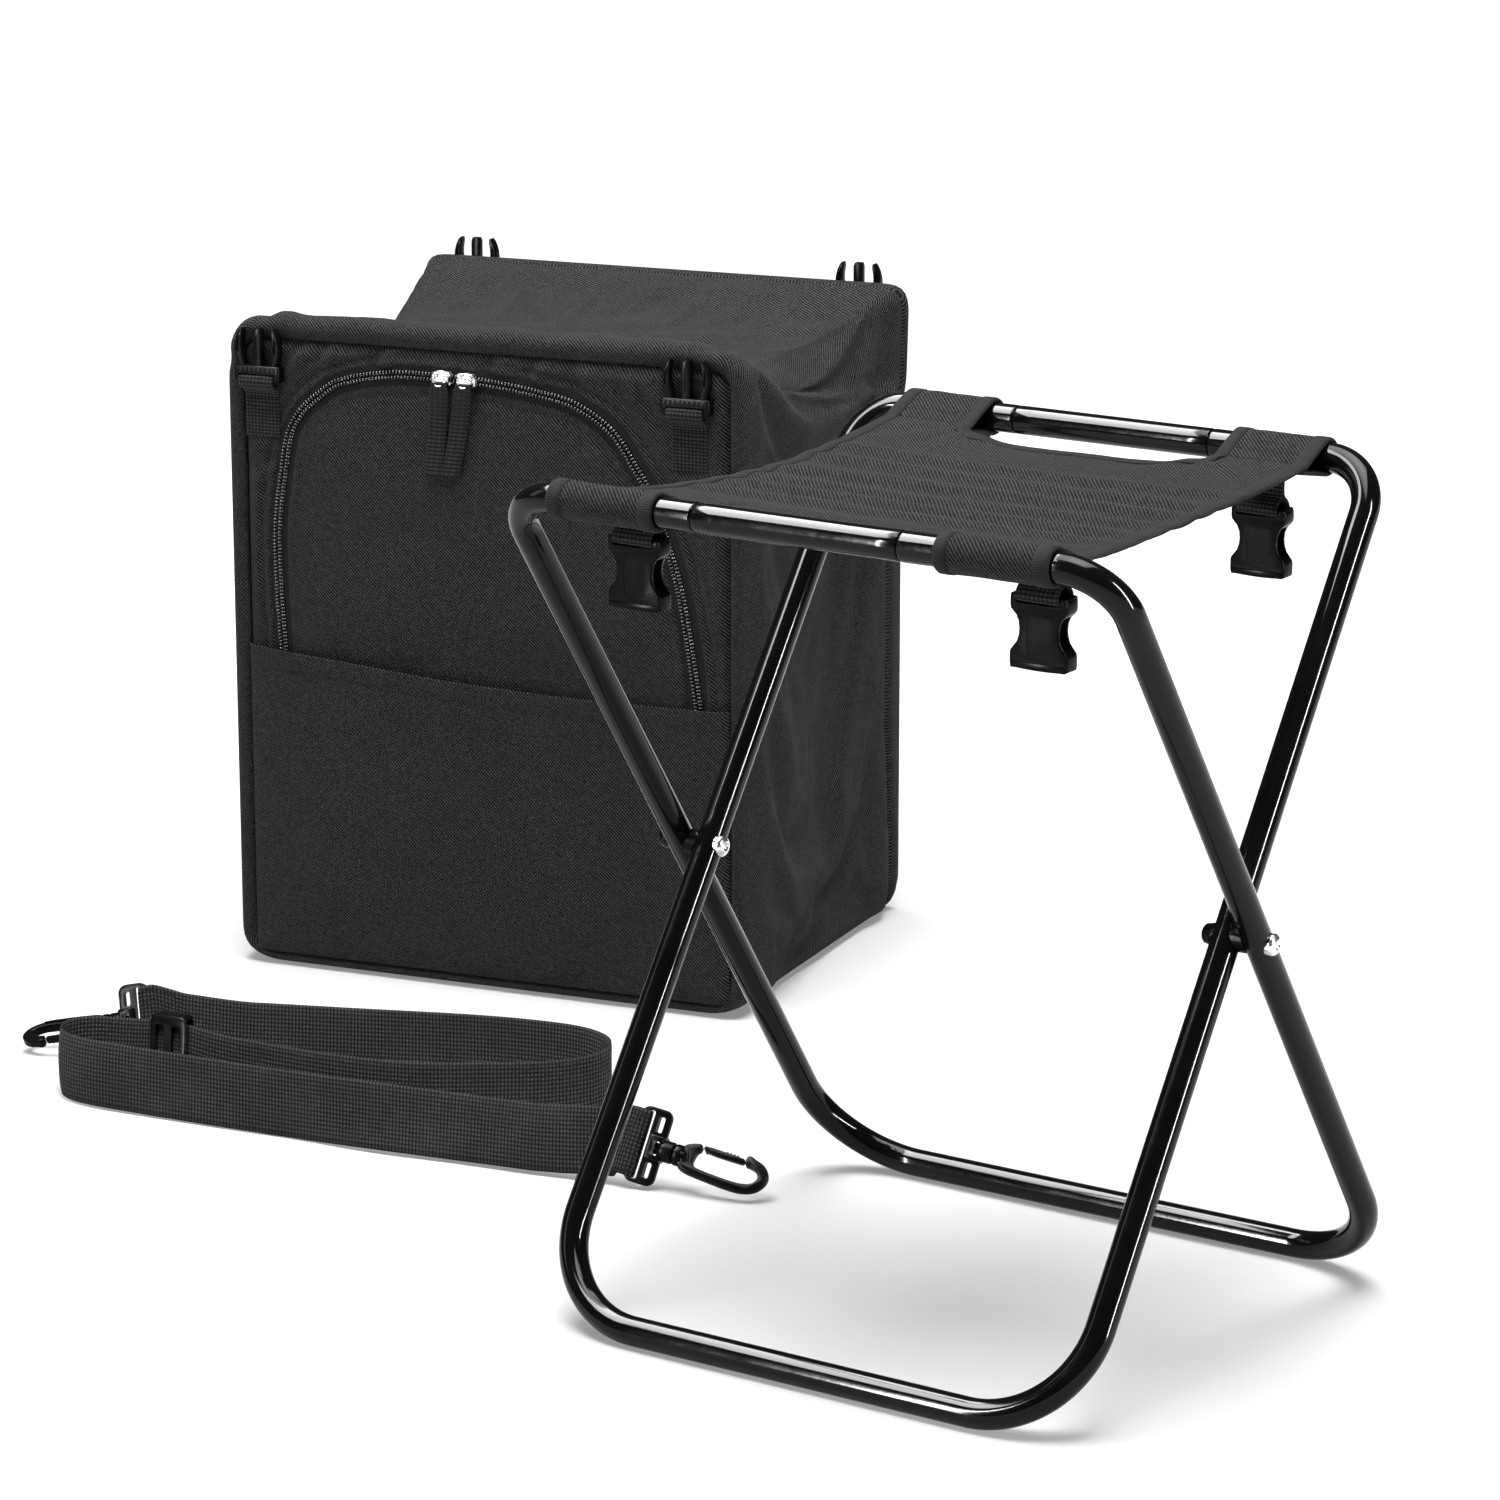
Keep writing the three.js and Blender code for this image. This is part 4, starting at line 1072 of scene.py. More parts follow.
        # gathers in the roll at the two front corners
        if kind == "roll":
            d = d - 2.6 * e * (bump(np.abs(x), 154.5, 5) * IS_TOP + bump(z, 402, 6) * IS_SIDE) + 1.5 * e * (bump(np.abs(x), 141, 7) * IS_TOP)
            d = d + 0.9 * e * np.sin(x / 11.0) * IS_TOP * np.sin(x / 37.0 + 1)
        y = SEAM_Y + u
        pts = np.stack([x + nrm[:, 0] * d, y, z + nrm[:, 1] * d], -1)
        if inner:
            pts[:, 0] -= nrm[:, 0] * 6.0
            pts[:, 2] -= nrm[:, 1] * 6.0
        rows.append(pts)
    return np.array(rows)


outer = shell_points()
inner = shell_points(True)
low = fnoise(outer, 0.016, 2.0, 3)
fine = fnoise(outer * np.array([1.0, 1.0, 0.55]), 0.045, 11.0, 2)
ucol = np.broadcast_to((outer[..., 1] - SEAM_Y), outer.shape[:2])
quiet = smooth01(ucol, 6, 40) * (1 - smooth01(ucol, DEPTH[None, :] - 22, DEPTH[None, :] - 6)) * (1 - IS_BASE)[None, :]
wob = (2.3 * low + 0.9 * fine) * quiet + 0.7 * fine * (1 - IS_BASE)[None, :] * smooth01(ucol, -2, 10)
qq = np.clip(ucol / DEPTH[None, :], 0, 1)[..., None]
nn = FN[None] * (1 - qq) + BN[None] * qq
nn /= np.linalg.norm(nn, axis=-1, keepdims=True)
off = np.stack([nn[..., 0] * wob, np.zeros_like(wob), nn[..., 1] * wob], -1)
outer, inner = outer + off, inner + off


def drape(points, faces, pin, frames=20, slack=0.012, gravity=0.35):
    """cloth run on a lofted grid in mm: pinned by weight, a little longer than its frame, under its own weight; gives each point's move"""
    ob = mesh_obj("drape_run", np.asarray(points) / 1000.0, faces)
    group = ob.vertex_groups.new(name="pin")
    for w in np.unique(np.round(pin, 2)):
        if w > 0:
            group.add([int(i) for i in np.nonzero(np.round(pin, 2) == w)[0]], float(w), "REPLACE")
    m = ob.modifiers.new("Cloth", "CLOTH")
    c = m.settings
    c.quality, c.mass, c.air_damping = 6, 0.35, 2.0
    c.tension_stiffness = c.compression_stiffness = 25.0
    c.shear_stiffness, c.bending_stiffness = 8.0, 2.5
    c.tension_damping = c.compression_damping = c.shear_damping = 12.0
    c.vertex_group_mass, c.pin_stiffness = "pin", 1.0
    c.shrink_min = c.shrink_max = -slack
    c.effector_weights.gravity = gravity
    m.collision_settings.use_collision = False
    m.point_cache.frame_start, m.point_cache.frame_end = 1, frames
    for f in range(1, frames + 1):
        SCENE.frame_set(f)
    me = ob.evaluated_get(bpy.context.evaluated_depsgraph_get()).data
    co = np.empty(len(me.vertices) * 3)
    me.vertices.foreach_get("co", co)
    SCENE.frame_set(1)
    mesh = ob.data
    bpy.data.objects.remove(ob)
    bpy.data.meshes.remove(mesh)
    return co.reshape(-1, 3) * 1000.0 - np.asarray(points)


flat = outer.reshape(-1, 3)
u2 = ucol / DEPTH[None, :]
pin = np.maximum(1 - smooth01(ucol, 10, 34), smooth01(u2, 0.88, 0.96))
pin = np.maximum(pin, np.maximum(IS_BASE, 1 - smooth01(FRONT[:, 1], 14, 40))[None, :] * np.ones_like(u2))
pin = np.maximum(pin, IS_SIDE[None, :] * bump(ucol, 217.5, 24) * bump(outer[..., 2], 318, 30))
move = drape(flat, grid_faces(NLOOP, len(outer), cu=True), np.where(pin > 0.5, 1.0, 0.0).ravel()).reshape(outer.shape)
size = np.linalg.norm(move, axis=-1, keepdims=True)
move = move * (np.minimum(size, 7.0) / np.maximum(size, 1e-6)) * (1 - smooth01(pin, 0.3, 0.9))[..., None]
outer, inner = outer + move, inner + move
SHELL_OUT, SHELL_IN = outer, inner
for a, lo in ((outer, 0.35), (inner, 6.2)):
    a[..., 2] = np.maximum(a[..., 2], lo)
loopL = np.concatenate([[0], np.cumsum(np.linalg.norm(np.diff(FRONT, axis=0), axis=1))]) / 1000
deepL = arc_len(outer[:, NLOOP // 4]) / 1000
uvo = np.stack(np.broadcast_arrays(loopL[None, :], deepL[:, None]), -1)
K = len(outer)
# inside the roll the rows fall on each other, so the inner side keeps only the ones that lie apart
apart = [0, *range(6, K - 2), K - 1]
ring = np.concatenate([outer, inner[apart][::-1]])
b = Build()
b.grid(bg(ring), np.concatenate([uvo, uvo[apart][::-1]]), cu=True, cv=True)
shell = b.obj("bag_shell", CLOTH)
put(shell, "cooler_bag", ["bag_left_panel", "bag_right_panel", "bag_roof", "bag_base"])


# ---------------------------------------------------------------- bag: back panel, wrapping on to the sides
CB = np.array([0.0, 220.0])
loops = []
rel = BACK - CB
for out_d, y, w in ((-1.2, -2.0, 0.6), (0.4, 0.2, 0.85), (2.6, 2.6, 1.0), (4.0, 6.5, 1.0)):
    P = BACK + BN * (out_d + 3.6 * w * IS_BASE)[:, None]
    loops.append(np.stack([P[:, 0], BACK_Y + y, P[:, 1]], -1))
edge_y = np.maximum(BACK_Y + 9, HY - 3.5)
for k, (f, dy) in enumerate(((0.55, 0.35), (1.0, 1.0))):
    P = BACK + BN * (4.2 - 2.2 * f + 3.4 * IS_BASE)[:, None]
    loops.append(np.stack([P[:, 0], loops[3][:, 1] + (edge_y - loops[3][:, 1]) * f, P[:, 1]], -1))
wraps = len(loops)
for r in (0.985, 0.965, 0.93, 0.88, 0.80, 0.70, 0.60, 0.50, 0.40, 0.30, 0.20, 0.10):
    P = CB + rel * r
    puff = 5.5 * (1 - r ** 4) * np.ones(NLOOP)
    y = HY - 3.0 + puff
    pts = np.stack([P[:, 0], y, P[:, 1]], -1)
    pts[:, 1] += 1.6 * fnoise(pts, 0.014, 21.0, 3) * smooth01(1 - r, 0.02, 0.2) - 2.2 * bump(P[:, 1], 150 + 0.1 * P[:, 0], 60) * (1 - r ** 2)
    pts[:, 1] = np.minimum(pts[:, 1], HY + 0.1 + 3.5 * (1 - smooth01(P[:, 1], 300, 345)))
    loops.append(pts)
for l in loops:
    l[:, 2] = np.maximum(l[:, 2], 0.5)
outs = len(loops)
for r in (0.10, 0.30, 0.50, 0.70, 0.88, 0.955):
    P = CB + rel * r
    loops.append(np.stack([P[:, 0], np.full(NLOOP, HY - 7.5), np.maximum(P[:, 1], 6.5)], -1))
uvs = []
for k, l in enumerate(loops):
    round_edge = HY - 3.0 - l[:, 1] if k < wraps else np.zeros(NLOOP)
    uvs.append(np.stack([l[:, 0] + BN[:, 0] * round_edge, l[:, 2] + BN[:, 1] * round_edge], -1) / 1000)
b = Build()
base = b.grid(bg(np.array(loops[:outs])), np.array(uvs[:outs]), cu=True)
b.fan([base + (outs - 1) * NLOOP + i for i in range(NLOOP)], bg([0, loops[outs - 1][:, 1].mean(), 220]), uv=(0, 0.22))
base2 = b.grid(bg(np.array(loops[outs:])), np.array(uvs[outs:]), cu=True)
b.fan([base2 + i for i in range(NLOOP)], bg([0, HY - 7.5, 220]), flip=True, uv=(0, 0.22))
last = base2 + (len(loops) - outs - 1) * NLOOP
for i in range(NLOOP):
    j = (i + 1) % NLOOP
    b.f.append((last + i, last + j, base + j, base + i))
backp = b.obj("bag_back", CLOTH)
put(backp, "cooler_bag", ["bag_back_panel"])

# ---------------------------------------------------------------- bag: front panel round the door
ARCH = np.array([[-144, 215.5], [-146.2, 257.7], [-146.2, 295], [-141.9, 327.3], [-135.4, 358.5], [-126.7, 372], [-114.8, 382.4], [-101.8, 391.2], [-68.2, 399], [-39, 400.3],
                 [2.2, 399], [39, 394.8], [65, 389.1], [89.9, 374], [105.1, 353.3], [114.8, 337.7], [126.7, 306.5], [135.4, 278.4], [141.9, 244.2], [146.2, 215.5]], float)
ARC = spline(ARCH, 400)
_t = np.gradient(ARC, axis=0)
_t /= np.linalg.norm(_t, axis=1)[:, None]
ARN = np.stack([-_t[:, 1], _t[:, 0]], -1)         # away from the door


def arch_offset(d, foot):
    """the arch moved out by d (in if negative), carried straight down to a foot height"""
    P = ARC + ARN * d
    up = P[P[:, 1] > ARC[0, 1] + 2]
    left, right = np.array([P[0, 0], foot]), np.array([P[-1, 0], foot])
    return np.concatenate([[left], up, [right]])


def seg_dist(p, line, closed=True):
    """distance of 2-D points to a polyline"""
    a = np.asarray(line, float)
    b2 = np.roll(a, -1, 0) if closed else a[1:]
    a = a if closed else a[:-1]
    best = np.full(p.shape[:-1], 1e9)
    for q0, q1 in zip(a, b2):
        d = q1 - q0
        l2 = max(float(d @ d), 1e-9)
        t = np.clip(((p - q0) @ d) / l2, 0, 1)
        best = np.minimum(best, np.linalg.norm(p - (q0 + t[..., None] * d), axis=-1))
    return best


def along_rays(line, centre, ang):
    """where rays from a centre leave a closed outline"""
    P = np.asarray(line, float) - centre
    Q = np.roll(P, -1, 0)
    D = np.stack([np.cos(ang), np.sin(ang)], -1)
    out = np.zeros((len(ang), 2))
    for i, d in enumerate(D):
        e = Q - P
        den = d[0] * e[:, 1] - d[1] * e[:, 0]
        den = np.where(np.abs(den) < 1e-9, 1e-9, den)
        t = (P[:, 0] * e[:, 1] - P[:, 1] * e[:, 0]) / den
        s = (P[:, 0] * d[1] - P[:, 1] * d[0]) / den
        ok = (t > 1e-6) & (s >= -1e-6) & (s <= 1 + 1e-6)
        out[i] = centre + d * t[ok].max()
    return out


ZIP_OUT = 5.0 + 1.9 * smooth01(np.arange(400), 150, 320)        # the zip shows wider on the right
HOLE = arch_offset(ZIP_OUT[:, None], 190.0)
HOLE_C = np.array([0.0, 300.0])
fine_ang = np.linspace(0, 2 * math.pi, 641)[:-1]
r_out, r_in = along_rays(FRONT, HOLE_C, fine_ang), along_rays(HOLE, HOLE_C, fine_ang)
fr = np.concatenate([[0, 0.004, 0.01, 0.02, 0.035], np.linspace(0.06, 0.94, 40), [0.965, 0.985, 1.0]])
G = r_out[None] * (1 - fr[:, None, None]) + r_in[None] * fr[:, None, None]
d_out, d_in = seg_dist(G, FRONT), seg_dist(G, HOLE)
P3 = np.stack([G[..., 0], np.zeros(G.shape[:2]), G[..., 1]], -1)
calm = smooth01(d_out, 3, 16) * smooth01(d_in, 2, 10)
yv = FY + 3.8 * np.exp(-d_out / 2.6) - 1.5 * bump(d_in, 2.6, 2.2) + 0.9 * bump(d_in, 7.2, 1.7) + 1.6 * np.exp(-d_in / 0.9)
yv = yv + calm * (1.0 + 1.0 * fnoise(P3, 0.03, 31.0, 3))
yv = yv - 3.0 * smooth01(d_out, 1, 9) * smooth01(d_in, 3, 11) * smooth01(G[..., 1], 228, 262)      # padding between the seam and the zip
# the corners are drawn in by the tabs, and the top edge is gathered under the roll
for cx, cz, ang0, a in ((-128, 404, 0.9, 1.3), (-106, 408, 1.2, 1.0), (-66, 409, 1.1, 1.1), (104, 400, 2.2, 1.2), (12, 409, 1.3, 0.9), (41, 408, 1.25, 1.0), (120, 398, 2.3, 1.2), (72, 406, 1.8, 1.0), (-152, 330, 0.5, 0.9), (157, 335, 2.5, 0.9)):
    dx, dz = G[..., 0] - cx, G[..., 1] - cz
    al, ac = dx * math.cos(ang0) + dz * math.sin(ang0), -dx * math.sin(ang0) + dz * math.cos(ang0)
    yv = yv - 2.1 * a * np.exp(-(ac / 4.6) ** 2) * np.exp(-(al / 12) ** 2) + 2.1 * a * np.exp(-((ac - 8) / 4.8) ** 2) * np.exp(-(al / 12) ** 2)
yv = np.maximum(yv, FY - 4.4)
hold = np.maximum(bump(G[..., 0], -155, 15) * smooth01(G[..., 1], 345, 356), bump(G[..., 0], 143, 15) * smooth01(G[..., 1], 345, 356)) * smooth01(d_out, 2, 8)
yv = yv * (1 - hold) + (FY + 0.1) * hold
front_o = np.stack([G[..., 0], yv, G[..., 1]], -1)
front_i = np.stack([G[..., 0], np.full(G.shape[:2], FY + 6.5), G[..., 1]], -1)
front_i[0, :, 0], front_i[0, :, 2] = G[0, :, 0] * 0.985, 8 + (G[0, :, 1] - 8) * 0.985 + 2
uv2 = np.stack([G[..., 0], G[..., 1]], -1) / 1000
b = Build()
b.grid(bg(np.concatenate([front_o, front_i[::-1]])), np.concatenate([uv2, uv2[::-1]]), cu=True, cv=True)
frontp = b.obj("bag_front", CLOTH)
put(frontp, "cooler_bag", ["bag_front_panel"])

# ---------------------------------------------------------------- bag: door
DOOR_OUT = arch_offset(-5.4, 194.0)
DOOR_C = np.array([0.0, 285.0])
rd = along_rays(DOOR_OUT, DOOR_C, fine_ang)
fd = np.concatenate([[0, 0.008, 0.02, 0.035, 0.055, 0.08], np.linspace(0.11, 0.97, 26)])
GD = rd[None] * (1 - fd[:, None, None]) + DOOR_C * fd[:, None, None]
dd = seg_dist(GD, DOOR_OUT)
P3 = np.stack([GD[..., 0], np.zeros(GD.shape[:2]), GD[..., 1]], -1)
foot = smooth01(GD[..., 1], 203, 252)
yd = FY + 1.6 - 3.2 * (1 - np.exp(-dd / 1.3)) - 3.7 * (1 - np.exp(-np.maximum(dd - 7, 0) / 22.0)) * foot
yd = yd + 1.1 * bump(dd, 6.4, 1.6) * smooth01(GD[..., 1], 222, 240)
yd = yd + 0.8 * fnoise(P3, 0.02, 41.0, 3) * smooth01(dd, 6, 30) * foot
yd = np.clip(yd, FY - 6.2, FY + 10)
door_o = np.stack([GD[..., 0], yd, GD[..., 1]], -1)
door_i = np.stack([GD[..., 0], np.full(GD.shape[:2], FY + 5.8), GD[..., 1]], -1)
uvd = np.stack([GD[..., 0], GD[..., 1]], -1) / 1000
b = Build()
base = b.grid(bg(np.concatenate([door_i[::-1], door_o])), np.concatenate([uvd[::-1], uvd]), cu=True)
nd_, kd = len(fine_ang), 2 * len(fd)
b.fan([base + i for i in range(nd_)], bg([0, FY + 5.8, 285]), flip=True, uv=(0, 0.285))
b.fan([base + (kd - 1) * nd_ + i for i in range(nd_)], bg([0, float(yd[-1].mean()), 285]), uv=(0, 0.285))
door = b.obj("door_panel", CLOTH)
door.data.materials.append(DOOR_FOIL_PAINTED_SHADE)                       # its inner face is lined with the darkened foil, painted shade, inside the zip tape
lined = np.zeros(len(door.data.polygons), np.int32)
lined[:(len(fd) - 5) * nd_] = 1
lined[(kd - 1) * nd_:kd * nd_] = 1
door.data.polygons.foreach_set("material_index", lined)
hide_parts("front_door")
DBLEND = dict(start=tuple(bg([0, FY - 1, 206])), end=tuple(bg([0, FY - 1, 226])))
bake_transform(door)


# ---------------------------------------------------------------- bag: slip pocket
def pocket_top(x):
    return np.interp(x, [-174, -130, -80, -22, 49, 119, 174], [219.5, 216.5, 213.0, 208.6, 206.0, 205.3, 205.0]) - 3.5


px = np.concatenate([np.linspace(-168.6, -161.5, 7), np.linspace(-157.5, 157.5, 80), np.linspace(161.5, 168.6, 7)])
pt = np.concatenate([[0, 0.006, 0.014, 0.024], np.linspace(0.045, 0.955, 54), [0.975, 0.988, 0.996, 1.0]])
top = pocket_top(px)
Z = 8.5 + (top[None, :] - 8.5) * pt[:, None]
X = np.broadcast_to(px[None, :], Z.shape)
de = np.minimum(168.8 - np.abs(X), Z - 8.3)
P3 = np.stack([X, np.zeros_like(X), Z], -1)
Y = FY + 1.7 - 3.6 * (1 - np.exp(-de / 2.0)) - 3.4 * (1 - np.exp(-np.maximum(de, 0) / 34.0))
Y = Y - 2.3 * smooth01(Z, 150, 206) * (1 - (np.abs(X) / 169.0) ** 3)
Y = Y + 0.9 * fnoise(P3, 0.012, 51.0, 3) * smooth01(de, 6, 40) + 0.35 * fnoise(P3, 0.04, 57.0, 2) * smooth01(de, 4, 20)
hemz = top[None, :] - Z
Y = Y - 0.55 * (1 - smooth01(hemz, 11.0, 12.6)) - 0.4 * bump(hemz, 1.2, 1.3) + 0.35 * bump(hemz, 12.6, 1.0)
Y = np.maximum(Y, FY - 10.2)
b = Build()
pk = np.stack([X, Y, Z], -1)
b.grid(bg(pk), np.stack([X, Z], -1) / 1000)
pocket = b.obj("pocket_panel", CLOTH)
solidify(pocket, 0.0016, 0.0)
put(pocket, "cooler_bag", ["slip_pocket"])

# ---------------------------------------------------------------- bag: silver lining and base board
lo = SHELL_IN - np.stack([nn[..., 0], np.zeros(nn.shape[:2]), nn[..., 1]], -1) * 0.6
li = SHELL_IN - np.stack([nn[..., 0], np.zeros(nn.shape[:2]), nn[..., 1]], -1) * 1.9
lo, li = (np.concatenate([a, a[-1:] * np.array([1.0, 0, 1.0]) + np.array([0, HY - 9.0, 0])]) for a in (lo, li))      # on to the back
for a in (lo, li):
    a[..., 1] = np.clip(a[..., 1], FY + 7.2, HY - 8.4)
b = Build()
keepc = [k for k in range(len(lo)) if k in (0,) or lo[k, 0, 1] > lo[k - 1, 0, 1] + 0.4]
b.grid(bg(np.concatenate([lo[keepc], li[keepc][::-1]])), cu=True, cv=True)
HOLE_L = arch_offset(2.6, 219.0)
rl = along_rays(HOLE_L, HOLE_C, fine_ang)
ro = along_rays(FRONT * np.array([0.955, 0.955]) + np.array([0, 9.5]), HOLE_C, fine_ang)
fl = np.linspace(0, 1, 14)[:, None, None]
GL = ro[None] * (1 - fl) + rl[None] * fl
wob = 0.25 * fnoise(np.stack([GL[..., 0], GL[..., 0] * 0, GL[..., 1]], -1), 0.05, 61.0, 2)
b.grid(bg(np.concatenate([np.stack([GL[..., 0], np.full(GL.shape[:2], FY + 7.0), GL[..., 1]], -1), np.stack([GL[..., 0], FY + 8.6 + wob, GL[..., 1]], -1)[::-1]])), cu=True, cv=True)
rb = FRONT * np.array([0.955, 0.955]) + np.array([0, 9.5])
rbk = [np.array([0, 220.0]) + (rb - np.array([0, 220.0])) * r for r in (1.0, 0.8, 0.6, 0.4, 0.2, 0.08)]
bk = [np.stack([q[:, 0], np.full(NLOOP, HY - 9.8), q[:, 1]], -1) for q in rbk]
bk2 = [np.stack([q[:, 0], np.full(NLOOP, HY - 8.2), q[:, 1]], -1) for q in rbk]
base = b.grid(bg(np.array(bk2[::-1] + bk)), cu=True)
b.fan([base + i for i in range(NLOOP)], bg([0, HY - 8.2, 220]), flip=True)
b.fan([base + (2 * len(rbk) - 1) * NLOOP + i for i in range(NLOOP)], bg([0, HY - 9.8, 220]))
lining = b.obj("bag_lining", FOIL)
put(lining, "cooler_bag", ["bag_liner"])
board = prism(rounded_rect(158.0, 124.0, 9, 6), 10.4, 13.2, 0.5, 2, "base_stiffener")
transform(board, bag_matrix() @ Matrix(((1, 0, 0, 0), (0, 0, 1, 0), (0, 1, 0, 0), (0, 0, 0, 1))))
board.data.materials.append(BOARD)
clean(board)
auto_smooth(board, 40)
put(board, "cooler_bag", ["base_board"])


# ---------------------------------------------------------------- bag: zip
NZ = 430
ZARC = spline(np.concatenate([[(-143.2, 203.5)], ARCH, [(149.0, 197.0)]]), NZ)      # the zip runs on down behind the pocket
_t = np.gradient(ZARC, axis=0)
_t /= np.linalg.norm(_t, axis=1)[:, None]
ZARN = np.stack([-_t[:, 1], _t[:, 0]], -1)


def zip_part(ob, body, node=()):
    """sewn to the bag's body, or on the door's side left unattached with its placement baked in"""
    if body == "cooler_bag":
        return put(ob, body, node)
    if node:
        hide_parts(*node)
    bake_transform(ob)
    return ob


def zip_strip(name, d0, d1, y, body, node, mat):
    """a half of the zip's tape beside the arch"""
    P, N = ZARC, ZARN
    n = 7
    o = np.linspace(d0, d1, n)
    G3 = P[:, None, :] + N[:, None, :] * o[None, :, None]
    t = np.linspace(0, 1, n)
    yy = y + 0.12 * np.sin(t * math.pi)[None, :] + 0 * G3[..., 0]
    L = arc_len(P) / 1000
    uv = np.stack(np.broadcast_arrays(L[:, None], (o / 1000)[None, :]), -1)
    b = Build()
    a3 = np.stack([G3[..., 0], yy, G3[..., 1]], -1)
    c3 = a3 + np.array([0, 0.7, 0])
    b.grid(bg(np.concatenate([a3, c3[:, ::-1]], 1)), np.concatenate([uv, uv[:, ::-1]], 1), cu=True)
    m = 2 * n
    b.fan(list(range(m)), bg(a3[0].mean(0) + np.array([0, 0.35, 0])), flip=True)
    b.fan(list(range((NZ - 1) * m, NZ * m)), bg(a3[-1].mean(0) + np.array([0, 0.35, 0])))
    return zip_part(b.obj(name, mat), body, [node])


zip_strip("zip_tape_bag_side", 0.45, 9.4, FY - 0.5, "cooler_bag", "zip_tape_outer", ZIPTAPE)
zip_strip("zip_tape_door_side", -0.45, -8.6, FY - 0.5, "front_door", "zip_tape_inner", ZIPTAPE)


def zip_teeth(name, s, body, phase):
    """coil of one half: a looped tooth every pitch, tall in the middle, turning down into the tape"""
    L = arc_len(ZARC)
    pitch = 2.3
    n = int((L[-1] - 4) / pitch)
    ring = np.arange(6) * math.pi / 3
    o = np.array([0.05, 0.6, 1.6, 2.7, 3.5])
    hy = np.array([0.3, -0.75, -1.05, -0.75, 0.5])
    rr = np.array([0.5, 0.74, 0.80, 0.74, 0.52])
    b = Build()
    c = 2 + (np.arange(n) + phase) * pitch
    P = np.stack([np.interp(c, L, ZARC[:, k]) for k in (0, 1)], -1)
    N = np.stack([np.interp(c, L, ZARN[:, k]) for k in (0, 1)], -1)
    N /= np.linalg.norm(N, axis=1)[:, None]
    T = np.stack([N[:, 1], -N[:, 0]], -1)
    for i in range(n):
        cen = np.stack([P[i, 0] + s * N[i, 0] * o, FY - 1.35 + hy, P[i, 1] + s * N[i, 1] * o], -1)
        t3, up = np.array([T[i, 0], 0, T[i, 1]]), np.array([0, -1.0, 0])
        pts = cen[:, None, :] + rr[:, None, None] * (np.cos(ring)[None, :, None] * t3 + np.sin(ring)[None, :, None] * up)
        base = b.grid(bg(pts), cu=True)
        b.fan([base + j for j in range(6)], bg(cen[0]), flip=True)
        b.fan([base + 24 + j for j in range(6)], bg(cen[-1]))
    return zip_part(b.obj(name, COIL), body)


zip_teeth("zip_coil_bag_side", 1, "cooler_bag", 0.0)
zip_teeth("zip_coil_door_side", -1, "front_door", 0.5)


def sew(name, pts2, body, y=None, surf=None, mat=None, blend=None, **kw):
    """stitches along an outline in the bag's front plane"""
    P = np.asarray(pts2, float)
    yy = np.full(len(P), y) if surf is None else surf(P)
    line = np.stack([P[:, 0], yy, P[:, 1]], -1)
    ob = stitches(name, line, np.tile([0.0, -1, 0], (len(P), 1)), to=bg, mat=mat, **kw)
    if blend:
        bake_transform(ob)
    else:
        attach(ob, body)
    return ob


def near_y(grid):
    """height of a modelled front surface at (x, z) points, from its nearest vertices"""
    g = grid.reshape(-1, 3)

    def f(P):
        out = np.empty(len(P))
        for i, p in enumerate(P):
            d = (g[:, 0] - p[0]) ** 2 + (g[:, 2] - p[1]) ** 2
            k = np.argpartition(d, 3)[:3]
            w = 1 / (d[k] + 0.05)
            out[i] = (g[k, 1] * w).sum() / w.sum()
        return out
    return f


on_front, on_door, on_pocket = near_y(front_o), near_y(door_o), near_y(pk)
sew("zip_stitch_bag_side", resample((ARC + ARN * (ZIP_OUT[:, None] + 6.6))[6:-6], 320), "cooler_bag", surf=on_front)
line = resample((ARC - ARN * 11.6)[26:-26], 300)
sew("zip_stitch_door_side", line, "front_door", surf=on_door, blend=("cooler_bag", "front_door", DBLEND))
hx = np.linspace(-165, 165, 150)
sew("pocket_hem_stitch", np.stack([hx, pocket_top(hx) - 12.6], -1), "cooler_bag", surf=lambda P: on_pocket(P) - 0.85)


# ---------------------------------------------------------------- bag: zip sliders and pulls
def slider_mesh(name):
    """zip slider lying along x, centre at the origin, front face towards -y: shield plate, bridge and wings"""
    shield = [(-5.2, -2.2), (-4.2, -3.6), (0.5, -4.1), (4.0, -3.4), (5.2, -1.4), (5.2, 1.4), (4.0, 3.4), (0.5, 4.1), (-4.2, 3.6), (-5.2, 2.2), (-4.3, 0.9), (-4.0, 0), (-4.3, -0.9)]
    ob = prism(shield, -1.5, 0.0, 0.45, 2, name)
    boolean(ob, prism([(x * 0.96, z * 0.94) for x, z in shield], 0.9, 1.7, 0.3, 2, "t1"))
    for s in (-1, 1):
        boolean(ob, rbox((-3.2, -0.8, s * 3.3 - 0.45), (3.4, 1.2, s * 3.3 + 0.45), 0.25, 2, "t2"))
    boolean(ob, rbox((1.2, -0.6, -1.2), (4.4, 1.3, 1.2), 0.3, 2, "t3"))
    path = np.array([(-3.9, -1.0), (-4.0, -2.4), (-3.3, -3.7), (-1.8, -4.4), (0.2, -4.5), (2.2, -4.0), (3.3, -2.8), (3.5, -1.0)])
    path = spline(path, 24)
    br = sweep(np.stack([path[:, 0], path[:, 1], 0 * path[:, 0]], -1), section(0.95, 2.3, 0.4), (0, 0, 1)).obj("t4")
    boolean(ob, br)
    return ob


